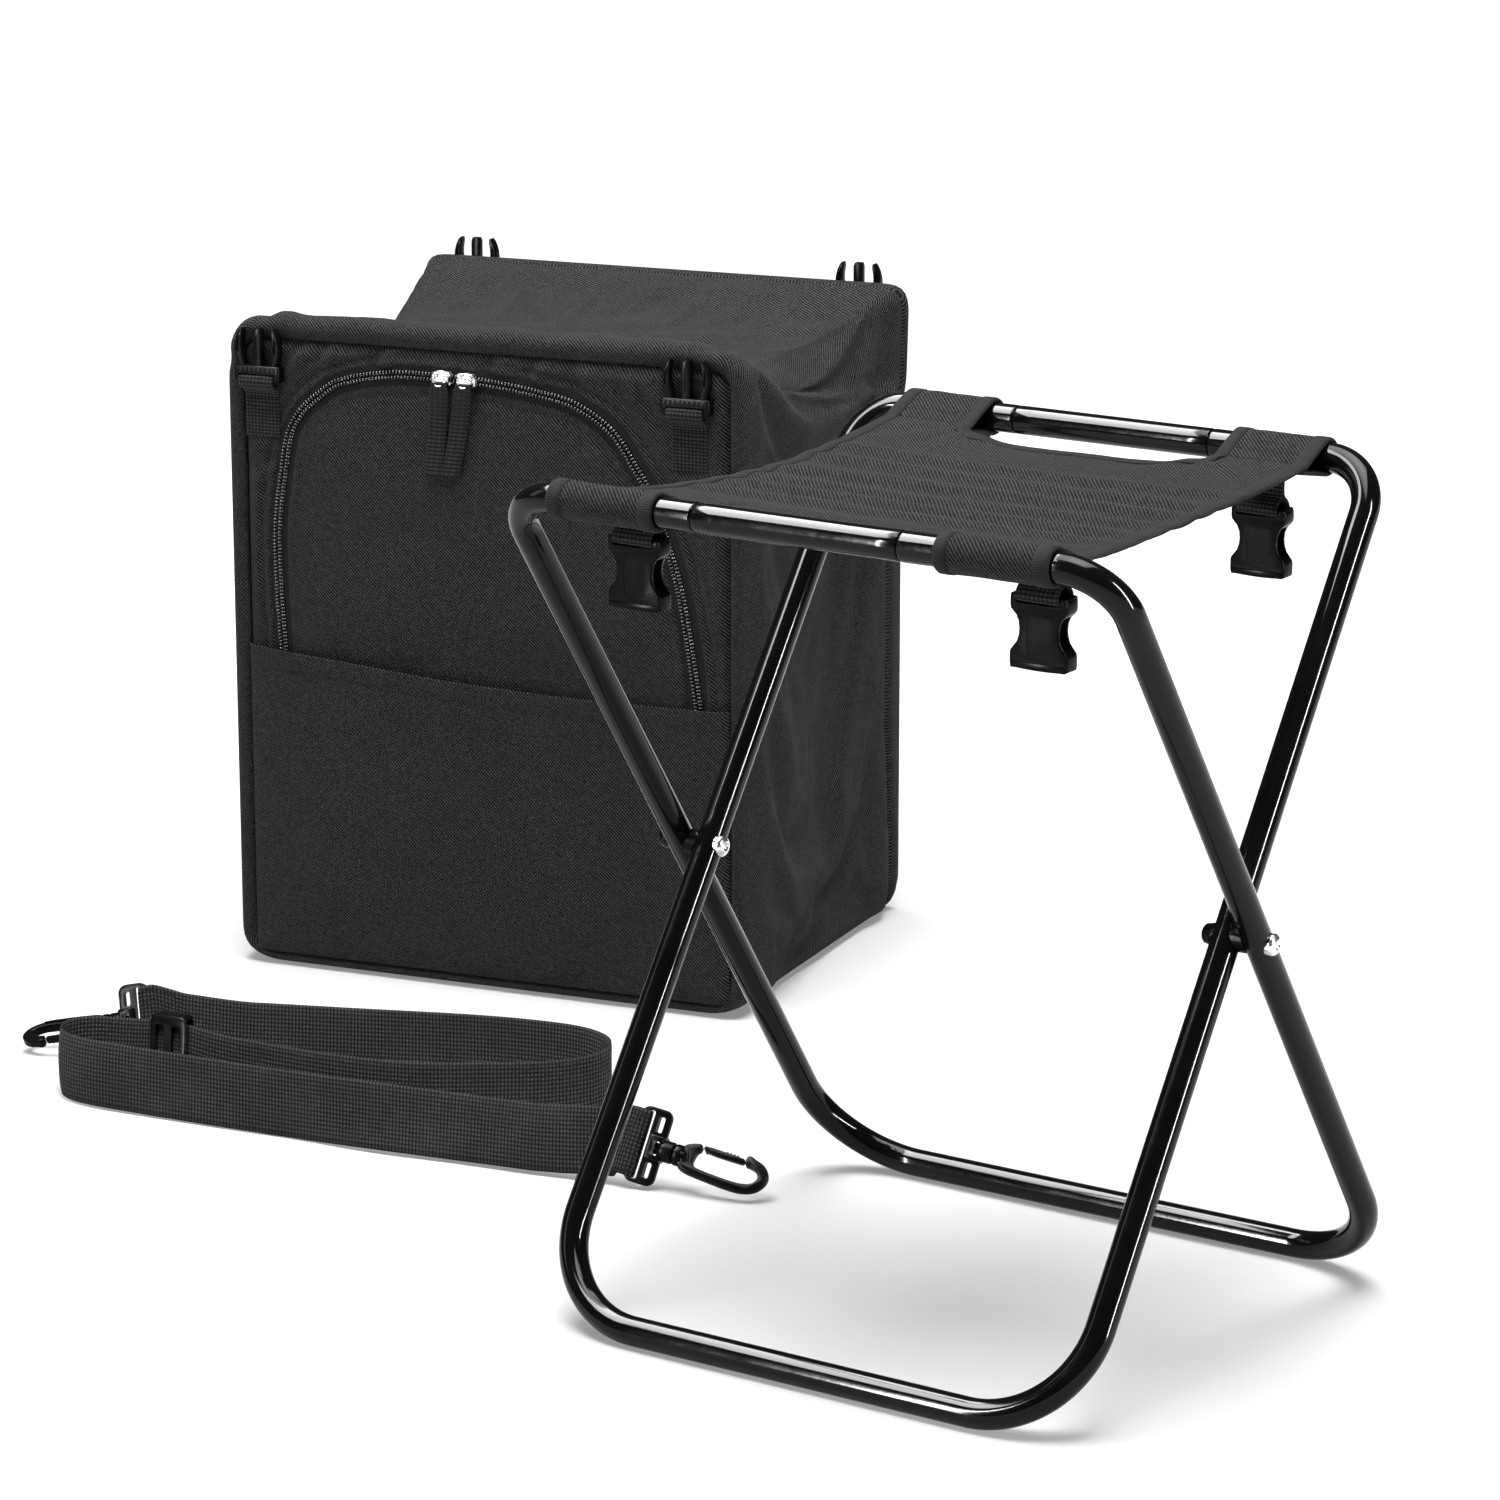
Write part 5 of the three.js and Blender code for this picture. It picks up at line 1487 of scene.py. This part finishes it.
def pull_mesh(name, tilt):
    """folded tape pull hanging from the origin, ribbed across; the metal eye at its top is made apart"""
    W, T = 12.2, 1.2
    L = np.linspace(0, 60, 190)
    n = len(L)
    rib = 0.16 * np.sin(2 * math.pi * L / 2.5)
    b = Build()
    lean = math.tan(math.radians(tilt))
    cx = L * lean + 1.2 * np.sin(L / 60 * math.pi)
    sway = 0.5 * np.sin(L / 21.0)
    ring = []
    across = np.linspace(-1, 1, 9)
    for side in (-1, 1):
        row = []
        for a in (across if side < 0 else across[::-1]):
            edge = (1 - abs(a) ** 6)
            pin = 1 - 0.18 * (1 - smooth01(L, 0, 7)) - 0.06 * smooth01(L, 57, 60)
            row.append(np.stack([cx + a * W / 2 * pin, sway + side * (T * (0.45 + 0.55 * edge) + rib * edge), -L], -1))
        ring.append(np.stack(row, 1))
    pts = np.concatenate(ring, 1)
    uv = np.stack(np.broadcast_arrays((L / 1000)[:, None], (np.concatenate([across, across + 2]) * W / 2000)[None, :]), -1)
    base = b.grid(pts, uv, cu=True)
    m = pts.shape[1]
    b.fan([base + i for i in range(m)], pts[0].mean(0), flip=True)
    b.fan([base + (n - 1) * m + i for i in range(m)], pts[-1].mean(0))
    return b


for n, x, tilt, z in (("left", -26.0, -4.5, 400.3), ("right", -9.0, -9.5, 399.9)):
    sl = slider_mesh("slider_" + n)
    turn = Matrix.Rotation(math.pi if n == "left" else 0.0, 4, "Y") @ Matrix.Rotation(math.radians(3 if n == "right" else -1), 4, "Y")
    transform(sl, bag_matrix() @ Matrix.Translation((x, FY - 2.9, z)) @ turn @ Matrix.Scale(1.28, 4))
    sl.data.materials.append(CHROME)
    clean(sl)
    auto_smooth(sl, 42)
    put(sl, "zip_slider_" + n, ["zip_slider_" + n])
    pl = pull_mesh("pull_tape_" + n, tilt).obj("pull_tape_" + n, PULLTAPE)
    transform(pl, bag_matrix() @ Matrix.Translation((x, FY - 8.7, 398.5)))
    put(pl, "zip_pull_" + n, ["zip_pull_" + n])
    # wire eye between the slider's bridge and the tape
    t = np.linspace(0, 2 * math.pi, 40, endpoint=False)
    eye = np.stack([3.9 * np.cos(t), -0.4 + 1.7 * np.sin(t), 4.1 * np.sin(t)], -1)
    wire = [(0.62 * math.cos(a), 0.62 * math.sin(a)) for a in np.arange(8) * math.pi / 4]
    ey = sweep(eye, wire, (0, 1, 0.3), closed=True).obj("pull_eye_" + n, CHROME)
    transform(ey, bag_matrix() @ Matrix.Translation((x, FY - 7.4, 400.4)))
    put(ey, "zip_pull_" + n)


# ---------------------------------------------------------------- side-release buckles
def plug_mesh(name):
    """male half: slotted bar with grip ribs, two barbed springs and a centre blade; hinge at the origin, pointing up"""
    ob = rbox((-16.4, -4.4, 1.5), (16.4, 4.4, 12.4), 1.3, 3, name)
    boolean(ob, rbox((-13, -8, 4.1), (13, 8, 7.1), 0.5, 2, "t1"), "DIFFERENCE")
    for s in (-1, 1):
        arm = [(8.4, 11), (13.4, 11), (14.6, 15), (15.7, 19.5), (16.1, 23), (15.7, 27), (14.6, 31), (13.0, 34.4), (11.6, 36), (10.4, 35.6), (10.2, 33), (10.9, 29), (11.1, 25), (10.6, 20), (9.2, 15)]
        boolean(ob, prism([(s * x, z) for x, z in arm], -3.1, 3.1, 0.7, 2, "t2"))
        win = [(11.9, 20.5), (14.0, 20.5), (14.6, 23.5), (14.0, 28), (12.6, 31.5), (12.2, 27)]
        for f in (-1, 1):
            boolean(ob, prism([(s * x, z) for x, z in win], f * 4.0, f * 1.7, 0.0, 1, "t3"), "DIFFERENCE")
    blade = [(-3.1, 11), (-3.1, 33.6), (-2.2, 36), (2.2, 36), (3.1, 33.6), (3.1, 11)]
    boolean(ob, prism(blade, -2.9, 2.9, 0.5, 2, "t4"))
    boolean(ob, rbox((-0.8, -4, 15), (0.8, -2.2, 31), 0.2, 1, "t5"), "DIFFERENCE")
    for k in range(9):
        x = -12.8 + 3.2 * k
        for f in (-1, 1):
            boolean(ob, rbox((x - 0.75, min(f * 3.9, f * 4.9), 8.2), (x + 0.75, max(f * 3.9, f * 4.9), 11.6), 0.3, 1, "t6"))
    clean(ob)
    return auto_smooth(ob, 35)


def socket_mesh(name):
    """female half: slotted band, waisted body with side windows, flared mouth; hinge at the origin, hanging down"""
    half = [(13.6, -2.2), (15.4, -2.9), (16.4, -4.6), (16.5, -8.6), (16.2, -10.4), (15.0, -12.0), (13.0, -14.0), (11.6, -17.0), (11.2, -20.5), (11.5, -24.0),
            (12.6, -27.2), (14.6, -29.8), (16.1, -31.6), (16.5, -33.4), (16.5, -38.6), (16.1, -40.0), (15.0, -40.7), (9.0, -41.1), (3.0, -41.3)]
    out = half + [(-x, z) for x, z in half[::-1]]
    ob = prism(out, -5.5, 5.5, 1.1, 3, name)
    boolean(ob, rbox((-13.9, -3.4, -50), (13.9, 3.4, -10.4), 0.4, 1, "t1"), "DIFFERENCE")
    boolean(ob, rbox((-15.9, -5.95, -11.2), (15.9, 5.95, -2.7), 0.9, 2, "t2"))
    boolean(ob, rbox((-12.9, -9, -7.7), (12.9, 9, -4.9), 0.5, 2, "t3"), "DIFFERENCE")
    # raised lips at the mouth and a thumb flat on each face
    for f in (-1, 1):
        boolean(ob, rbox((-15.6, min(f * 5.0, f * 5.95), -40.6), (15.6, max(f * 5.0, f * 5.95), -37.2), 0.4, 2, "t4"))
        boolean(ob, prism([(x * 0.62, z) for x, z in ((9, -14.5), (11, -20.5), (9, -33.5), (-9, -33.5), (-11, -20.5), (-9, -14.5))], f * 6.5, f * 5.2, 0.0, 1, "t5"), "DIFFERENCE")
    clean(ob)
    return auto_smooth(ob, 35)


def ribbon(path_yz, x0, x1, thick=1.5, to=bg, name="ribbon", mat=None, n=90, nx=9):
    """webbing of some width in x carried along a (y, z) path"""
    P = spline(path_yz, n)
    T = np.gradient(P, axis=0)
    T /= np.linalg.norm(T, axis=1)[:, None]
    N = np.stack([-T[:, 1], T[:, 0]], -1)
    xs = np.linspace(x0, x1, nx)
    edge = 1 - 0.45 * (np.abs(np.linspace(-1, 1, nx)) > 0.97)
    A = np.stack(np.broadcast_arrays(xs[None, :], (P[:, 0][:, None] + N[:, 0][:, None] * thick / 2 * edge[None, :]), (P[:, 1][:, None] + N[:, 1][:, None] * thick / 2 * edge[None, :])), -1)
    B = np.stack(np.broadcast_arrays(xs[None, :], (P[:, 0][:, None] - N[:, 0][:, None] * thick / 2 * edge[None, :]), (P[:, 1][:, None] - N[:, 1][:, None] * thick / 2 * edge[None, :])), -1)
    L = arc_len(P) / 1000
    uvr = np.stack(np.broadcast_arrays(L[:, None], (xs / 1000)[None, :]), -1)
    b = Build()
    base = b.grid(to(np.concatenate([A, B[:, ::-1]], 1)), np.concatenate([uvr, uvr[:, ::-1]], 1), cu=True)
    m = 2 * nx
    b.fan([base + i for i in range(m)], to((A[0].mean(0) + B[0].mean(0)) / 2), flip=True)
    b.fan([base + (n - 1) * m + i for i in range(m)], to((A[-1].mean(0) + B[-1].mean(0)) / 2))
    return b.obj(name, mat or WEB)


def box_stitch(name, x0, x1, z0, z1, y, sgn, body, to=bg, cross=True):
    """rectangle of stitches, with a cross in it, on a face of constant y; sgn is the way the face looks"""
    c = [(x0, z0), (x1, z0), (x1, z1), (x0, z1), (x0, z0)]
    line = [np.array([px_, y, pz_]) for px_, pz_ in resample(c, 60)]
    if cross:
        line2 = [np.array([px_, y, pz_]) for px_, pz_ in resample([(x0, z0), (x1, z1)], 20)]
        line3 = [np.array([px_, y, pz_]) for px_, pz_ in resample([(x1, z0), (x0, z1)], 20)]
    obs = []
    for k, l in enumerate([line] + ([line2, line3] if cross else [])):
        ob = stitches(f"{name}_{k + 1}", np.array(l), np.tile([0.0, sgn, 0], (len(l), 1)), pitch=2.6, length=1.9, r=0.3, to=to)
        obs.append(put(ob, body))
    return obs


PLUGS = (("front_left", -155.0, -1, 388.0), ("front_right", 143.0, -1, 388.0), ("back_left", -141.0, 1, 405.0), ("back_right", 141.0, 1, 405.0))
plug0 = plug_mesh("plug_master")
for n, x, s, z in PLUGS:
    ob = copy_of(plug0, "plug_" + n, bag_matrix() @ Matrix.Translation((x, s * (HY + 5.2), z)) @ Matrix.Rotation(0.0 if s < 0 else math.pi, 4, "Z"))
    ob.data.materials.append(PLASTIC)
    put(ob, "plug_" + n, ["buckle_plug_" + n])
    yp, yf = HY + 5.2, HY + 1.05
    path = [(yf, -35.0), (yf, -20.0), (yf, -9.0), (yf + 1.6, -4.5), (yp + 4.6, -0.6), (yp + 5.7, 2.2), (yp + 5.0, 4.9), (yp, 5.7), (yp - 4.6, 4.9), (yp - 5.4, 2.0), (yp - 4.4, -2.2), (yf - 0.2, -7.0), (yf + 0.1, -14.0)]
    tab = ribbon([(s * a, z + c) for a, c in path], x - 12.2, x + 12.2, 1.5, name="plug_web_" + n, n=110)
    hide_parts("plug_tab_" + n)
    tuple(bg([x, s * yp, z - 7]))
    tuple(bg([x, s * yp, z - 0.5]))
    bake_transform(tab)
    box_stitch("plug_box_stitch_" + n, x - 10.0, x + 10.0, z - 33.0, z - 13.0, s * (yf + 0.85), s, "cooler_bag")
bpy.data.objects.remove(plug0)

SOCKETS = (("front_left", -121.0, -123.0, 432.0, "outer_frame", 447.0), ("front_right", 121.0, -123.0, 432.0, "outer_frame", 447.0),
           ("back_left", -92.0, 157.5, 424.0, "inner_frame", 441.3), ("back_right", 92.0, 157.5, 424.0, "inner_frame", 441.3))
sock0 = socket_mesh("socket_master")
for n, x, y, z, body, up in SOCKETS:
    ob = copy_of(sock0, "socket_body_" + n, stool_matrix() @ Matrix.Translation((x, y, z)))
    ob.data.materials.append(PLASTIC)
    put(ob, "socket_" + n, ["buckle_socket_" + n])
    top = up - z
    path = [(-0.9, top), (-0.9, top * 0.6), (-1.6, 3.6), (-5.2, 0.4), (-7.2, -2.4), (-6.9, -5.0), (-4.0, -6.2), (0, -6.3), (4.0, -6.2), (6.9, -5.0), (7.2, -2.4), (5.2, 0.4), (1.6, 3.6), (0.9, top * 0.6), (0.9, top)]
    tab = ribbon([(y + a, z + c) for a, c in path], x - 12.2, x + 12.2, 1.5, to=st, name="socket_web_" + n, n=120)
    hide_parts("socket_tab_" + n)
    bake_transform(tab)
    box_stitch("socket_stitch_" + n, x - 10.5, x + 10.5, z + min(6.5, top - 5), z + top - 2.0, y - 1.75, -1, body, to=st, cross=False)
bpy.data.objects.remove(sock0)

# ---------------------------------------------------------------- strap rings on the bag's sides
RING_Y, RING_Z = 78.0, 304.0
for n, s in (("left", -1), ("right", 1)):
    c = s * (HX + 2.7)
    path = rounded_rect(15.6, 10.8, 4.6, 8)
    P = np.array([(c, RING_Y + a, RING_Z - 14.0 + q) for a, q in path])
    ob = sweep(P, section(4.3, 3.7, 1.4, 4), (1, 0, 0), closed=True).obj("ring_" + n, PLASTIC)
    transform(ob, bag_matrix())
    put(ob, "ring_" + n, ["strap_ring_" + n])
    # webbing loop round the ring's upper bar, sewn flat above it
    f = s * (HX + 1.1)
    path = [(f, 331.5), (f, 318), (f + s * 0.1, 310), (c + s * 3.4, 305.6), (c + s * 3.9, 302.6), (c + s * 2.6, 299.3), (c, 298.2), (c - s * 2.2, 299.6), (c - s * 3.2, 302.5), (c - s * 2.8, 306.0), (f - s * 0.4, 312), (f - s * 0.6, 322)]
    Q = np.array(path)
    tab = ribbon(Q, -12.2, 12.2, 1.5, to=lambda p: p, name="ring_web_" + n, n=100)
    transform(tab, bag_matrix() @ Matrix(((0, 1, 0, 0), (1, 0, 0, RING_Y), (0, 0, 1, 0), (0, 0, 0, 1))))
    clean(tab)
    put(tab, "cooler_bag", ["ring_tab_" + n])

# ---------------------------------------------------------------- shoulder strap
ROUTE = np.array([[-255.4, 46.1], [-295, 38.5], [-350, 28.5], [-405, 18.5], [-460, 9.5], [-515, 0.5], [-570, -8.5], [-610, -13.5],
                  [-632, -8.5], [-641, 7.5], [-632, 22.5], [-612, 29.3], [-585, 32.6], [-550, 36.9], [-515, 41.2], [-480, 45.5],
                  [-445, 52.5], [-410, 64.5], [-375, 86.5], [-350, 105.5], [-335, 127.5], [-335, 149.5], [-350, 165.5], [-376, 170.5],
                  [-420, 161.5], [-470, 144], [-520, 124.5], [-565, 105], [-600, 89], [-623, 79.2]], float)
LEAN = 0.466 * np.array([-0.554, 0.832])
WEB_UP = np.array([LEAN[0], LEAN[1], 1.0])
WEB_UP /= np.linalg.norm(WEB_UP)


def route_points(P, per=40):
    """uniform Catmull-Rom through the route, ends clamped"""
    out, n = [], len(P)
    t = np.linspace(0, 1, per, endpoint=False)[:, None]
    for i in range(n - 1):
        p0, p1, p2, p3 = P[max(i - 1, 0)], P[i], P[i + 1], P[min(i + 2, n - 1)]
        v0, v1 = (p2 - p0) / 2, (p3 - p1) / 2
        out.append((2 * p1 - 2 * p2 + v0 + v1) * t ** 3 + (-3 * p1 + 3 * p2 - 2 * v0 - v1) * t ** 2 + v0 * t + p1)
    out.append(P[-1:])
    return np.concatenate(out)


RP = route_points(ROUTE)
RL = arc_len(RP)
RTOT = RL[-1]
GLIDE_S = 0.438 * RTOT


def on_route(s):
    s = np.asarray(s, float)
    return np.stack([np.interp(s, RL, RP[:, k]) for k in (0, 1)], -1)


def hook_matrix(at, yaw, droop, roll):
    return (Matrix.Translation(at) @ Matrix.Rotation(math.radians(yaw), 4, "Z") @ Matrix.Rotation(math.radians(droop), 4, "Y")
            @ Matrix.Rotation(math.radians(roll), 4, "X"))


HOOKS = {"right": ((-248.886, 57.963, 24.2), 11, 10, (-23, 42)), "left": ((-641.292, 83.619, 24.5), 203, 12, (23, -14))}


def run_centre(s):
    """middle of the webbing's width at a length along the route"""
    p = on_route(s)
    z = 19.4 + 3.0 * bump(s, GLIDE_S, 26) + 3.2 * (1 - smooth01(np.minimum(s, RTOT - s), 0, 60)) + 0.7 * np.sin(s / 61.0 + 1.0)
    q = np.concatenate([p + LEAN * z[:, None], z[:, None]], 1)
    return q


main_s = np.linspace(3, RTOT - 3, 420)
mc = run_centre(main_s)
mt = np.gradient(mc, axis=0)
mn = np.cross(mt, WEB_UP)
mn /= np.linalg.norm(mn, axis=1)[:, None]
calm = smooth01(np.minimum(main_s, RTOT - main_s), 20, 70) * (1 - bump(main_s, GLIDE_S, 30))
mc = mc + mn * ((1.1 * np.sin(main_s / 33.0) * np.sin(main_s / 97.0 + 0.6) + 0.8 * np.sin(main_s / 19.0 + 2) * np.sin(main_s / 71.0)) * calm)[:, None]
tip = np.radians(3.2 * np.sin(main_s / 83.0 + 0.8) + 2.2 * np.sin(main_s / 41.0)) * calm
mw = 20.0 * (WEB_UP[None] * np.cos(tip)[:, None] + mn * np.sin(tip)[:, None])


def end_stations(name, first, away):
    """the webbing's turn round the bar of an end frame, and the tail sewn back along itself"""
    at, yaw, droop, roll = HOOKS[name]
    m = hook_matrix(at, yaw, droop, roll[0])
    up = np.array((m.to_3x3() @ Vector((0, 0, 1))))
    pts = [(-8.5, away * -1.5), (-5.0, away * -2.9), (-2.2, away * -3.3), (0.4, away * -2.5), (1.45, away * -0.9), (1.45, away * 0.9), (0.4, away * 2.5), (-2.2, away * 3.3), (-5.0, away * 3.0), (-8.5, away * 2.5)]
    C = [np.array(m @ Vector((x, y, 0))) for x, y in pts]
    W = [up * 20.0] * len(C)
    tail = np.arange(6, 46, 4.0)
    ts = tail if first else RTOT - tail
    tc = run_centre(ts)
    k = [int(np.argmin(np.abs(main_s - s))) for s in ts]
    side = np.array((m.to_3x3() @ Vector((0, away, 0))))
    for i, (c, kk) in enumerate(zip(tc, k)):
        n = mn[kk] * np.sign(mn[kk] @ side)
        C.append(mc[kk] + n * 2.35)
        W.append(mw[kk])
    return np.array(C), np.array(W)


cr, wr = end_stations("right", True, 1.0)
cl, wl = end_stations("left", False, -1.0)
keep = slice(4, -4)
PATH6 = np.concatenate([np.concatenate([cr[::-1], mc[keep], cl]), np.concatenate([wr[::-1], mw[keep], wl])], 1)
PATH6 = spline(PATH6, 1000)
BC, BW = PATH6[:, :3], PATH6[:, 3:]
BW = BW / np.linalg.norm(BW, axis=1)[:, None] * 20.0
BT = np.gradient(BC, axis=0)
BT /= np.linalg.norm(BT, axis=1)[:, None]
BNRM = np.cross(BT, BW)
BNRM /= np.linalg.norm(BNRM, axis=1)[:, None]
BL = arc_len(BC)
NX = 15
across = np.linspace(-1, 1, NX)
half_t = 1.0 - 0.5 * np.abs(across) ** 8
cup = (0.9 * np.sin(BL / 57.0) + 0.5 * np.sin(BL / 23.0 + 1))[:, None] * (across[None, :] ** 2 - 0.33) * smooth01(np.minimum(BL, BL[-1] - BL), 60, 110)[:, None]
mid = BC[:, None, :] + BW[:, None, :] * across[None, :, None] + BNRM[:, None, :] * cup[..., None]
A = mid + BNRM[:, None, :] * half_t[None, :, None]
B = mid - BNRM[:, None, :] * half_t[None, :, None]
for a in (A, B):
    a[..., 2] = np.maximum(a[..., 2], 0.4)
uvw = np.stack(np.broadcast_arrays((BL / 1000)[:, None], (across * 0.02)[None, :]), -1)
b = Build()
base = b.grid(st(np.concatenate([A, B[:, ::-1]], 1)), np.concatenate([uvw, uvw[:, ::-1]], 1), cu=True)
m2 = 2 * NX
b.fan([base + i for i in range(m2)], st(mid[0].mean(0)), flip=True)
b.fan([base + (len(BC) - 1) * m2 + i for i in range(m2)], st(mid[-1].mean(0)))
strap = b.obj("strap_band", WEB)
put(strap, "shoulder_strap", ["strap_webbing"])


def band_stitch(name, l0, l1, side):
    """box of stitches with a cross, on one face of the strap between two lengths"""
    def at(l, v):
        i = np.clip(np.searchsorted(BL, l), 0, len(BL) - 1)
        c = BC[i] + BW[i] * v[:, None] + BNRM[i] * (side * 1.02)
        return c, BNRM[i] * side
    obs = []
    for k, (p, q) in enumerate((((l0, -0.86), (l0, 0.86)), ((l1, -0.86), (l1, 0.86)), ((l0, -0.86), (l1, -0.86)), ((l0, 0.86), (l1, 0.86)), ((l0, -0.86), (l1, 0.86)), ((l0, 0.86), (l1, -0.86)))):
        t = np.linspace(0, 1, 24)
        c, n = at(p[0] + (q[0] - p[0]) * t, p[1] + (q[1] - p[1]) * t)
        ob = stitches(f"{name}_{k + 1}", c, n, pitch=2.7, length=2.0, r=0.32)
        obs.append(put(ob, "shoulder_strap"))
    return obs


near = []
for l0 in (62.0, float(BL[-1]) - 86.0):
    i = int(np.searchsorted(BL, l0))
    near.append(1.0 if BNRM[i] @ np.array([0.554, -0.832, 0]) > 0 else -1.0)
sewn = band_stitch("strap_sewing_right", 62.0, 86.0, near[0]) + band_stitch("strap_sewing_left", float(BL[-1]) - 86.0, float(BL[-1]) - 62.0, near[1])

# ---------------------------------------------------------------- strap adjuster
gp = on_route(np.array([GLIDE_S - 0.5, GLIDE_S, GLIDE_S + 0.5]))
ga = math.atan2(gp[2, 1] - gp[0, 1], gp[2, 0] - gp[0, 0])
shear = Matrix(((1, 0, LEAN[0], 0), (0, 1, LEAN[1], 0), (0, 0, 1, 0), (0, 0, 0, 1)))
gl = prism([(x, z + 22.6) for x, z in rounded_rect(13.0, 22.5, 4.5, 8)], -4.9, 4.9, 1.2, 3, "strap_glide_frame")
boolean(gl, rbox((-20, -2.95, 2.4), (20, 2.95, 42.8), 0.3, 1, "t1"), "DIFFERENCE")
for x0, x1 in ((-9.2, -2.4), (2.4, 9.2)):
    boolean(gl, prism([(x + (x0 + x1) / 2, z + 22.6) for x, z in rounded_rect((x1 - x0) / 2, 17.0, 1.6, 5)], -9, 9, 0.0, 1, "t2"), "DIFFERENCE")
for k in range(7):
    z = 8.6 + k * 4.6
    for f in (-1, 1):
        boolean(gl, rbox((-2.0, min(f * 4.1, f * 4.9), z - 0.7), (2.0, max(f * 4.1, f * 4.9), z + 0.7), 0.3, 1, "t3"))
transform(gl, stool_matrix() @ shear @ Matrix.Translation((gp[1, 0], gp[1, 1], 0)) @ Matrix.Rotation(ga, 4, "Z"))
gl.data.materials.append(PLASTIC)
clean(gl)
auto_smooth(gl, 35)
put(gl, "strap_glide", ["strap_glide"])


# ---------------------------------------------------------------- swivel hooks
def frame_mesh(name):
    """webbing frame with a swivel housing, x along the swivel"""
    ob = prism([(x + 5.5, z) for x, z in rounded_rect(9.5, 22.6, 5.2, 8)], -2.5, 2.5, 1.15, 3, name)
    boolean(ob, prism([(x + 2.0, z) for x, z in rounded_rect(2.5, 20.3, 1.2, 5)], -9, 9, 0.0, 1, "t1"), "DIFFERENCE")
    for s in (-1, 1):
        boolean(ob, prism([(x + 9.4, z + s * 13.6) for x, z in rounded_rect(2.0, 4.6, 1.2, 5)], -9, 9, 0.0, 1, "t2"), "DIFFERENCE")
    boolean(ob, rbox((5.2, -5.6, -7.6), (15.6, 5.6, 7.6), 1.5, 3, "t3"))
    boolean(ob, lathe([(5.6, 14.2), (6.25, 14.6), (6.4, 15.4), (6.4, 20.6), (6.2, 21.3), (5.4, 21.8)], 36).obj("t4"))
    boolean(ob, rbox((8.0, -9, -4.2), (13.0, 9, 4.2), 0.6, 2, "t5"), "DIFFERENCE")
    clean(ob)
    return auto_smooth(ob, 35)


def round_corners(P, n=2):
    P = np.asarray(P, float)
    for _ in range(n):
        Q = np.roll(P, -1, 0)
        P = np.stack([0.75 * P + 0.25 * Q, 0.25 * P + 0.75 * Q], 1).reshape(-1, 2)
    return P


HOOK_OUT = [(25, -6.0), (30, -8.9), (40, -9.9), (60, -11.2), (70, -10.3), (77, -6.4), (80.3, 0), (79.5, 5.6), (75, 9.6), (69, 11.2), (66.6, 12.4), (63.4, 12.2),
            (63.5, 6.2), (67, 6.2), (71.6, 4.8), (74.6, 1), (73.6, -2.8), (69.8, -5.4), (62, -6.4), (42, -5.6), (34.5, -4.2),
            (34.3, 5.2), (36.3, 6.4), (36.3, 10.8), (30, 9.2), (25, 6.0)]


def hook_mesh(name):
    ob = prism([tuple(p) for p in round_corners(HOOK_OUT, 2)], -3.0, 3.0, 1.1, 3, name)
    # thicker spine along the back
    spine = round_corners([(27, -4.5), (32, -8.0), (60, -9.9), (68, -9.2), (68, -7.8), (60, -7.6), (40, -6.7), (33, -4.2), (30, 4.4), (27, 4.4)], 2)
    boolean(ob, prism([tuple(p) for p in spine], -3.9, 3.9, 0.7, 2, "t1"))
    transform(ob, Matrix(((1, 0, 0, 0), (0, 0, 1, 0), (0, 1, 0, 0), (0, 0, 0, 1))))
    boolean(ob, lathe([(4.6, 22.3), (6.1, 22.6), (6.4, 23.2), (6.4, 25.8), (6.0, 26.8), (4.9, 27.9), (4.0, 30.5)], 36).obj("t2"))
    boolean(ob, lathe([(2.2, 8.9), (3.3, 9.5), (3.5, 10.6), (3.2, 11.8), (2.5, 12.6), (2.5, 24.0)], 24).obj("t3"))
    clean(ob)
    return auto_smooth(ob, 35)


def gate_mesh(name):
    ob = prism([tuple(p) for p in round_corners([(37.5, 6.7), (60, 6.5), (63.0, 7.0), (63.0, 9.7), (60, 10.0), (48, 10.4), (37.5, 10.5)], 2)], -2.2, 2.2, 0.7, 2, name)
    transform(ob, Matrix(((1, 0, 0, 0), (0, 0, 1, 0), (0, 1, 0, 0), (0, 0, 0, 1))))
    for k in range(4):
        boolean(ob, rbox((51.0 + 2.2 * k, 9.6, -2.1), (52.0 + 2.2 * k, 10.7, 2.1), 0.25, 1, "t1"))
    pin = lathe([(1.0, -3.1), (1.3, -2.9), (1.3, 2.9), (1.0, 3.1)], 16, "z").obj("t2")
    transform(pin, Matrix.Translation((38.9, 8.5, 0)))
    boolean(ob, pin)
    clean(ob)
    return auto_smooth(ob, 35)


for n, (at, yaw, droop, roll) in HOOKS.items():
    f = frame_mesh("hook_bracket_" + n)
    transform(f, stool_matrix() @ hook_matrix(at, yaw, droop, roll[0]))
    f.data.materials.append(PLASTIC)
    put(f, "shoulder_strap", ["hook_frame_" + n])
    h = hook_mesh("hook_body_" + n)
    transform(h, stool_matrix() @ hook_matrix(at, yaw, droop, roll[1]))
    h.data.materials.append(PLASTIC)
    put(h, "hook_" + n, ["snap_hook_" + n])
    g = gate_mesh("hook_spring_gate_" + n)
    transform(g, stool_matrix() @ hook_matrix(at, yaw, droop, roll[1]))
    g.data.materials.append(PLASTIC)
    put(g, "gate_" + n, ["hook_gate_" + n])
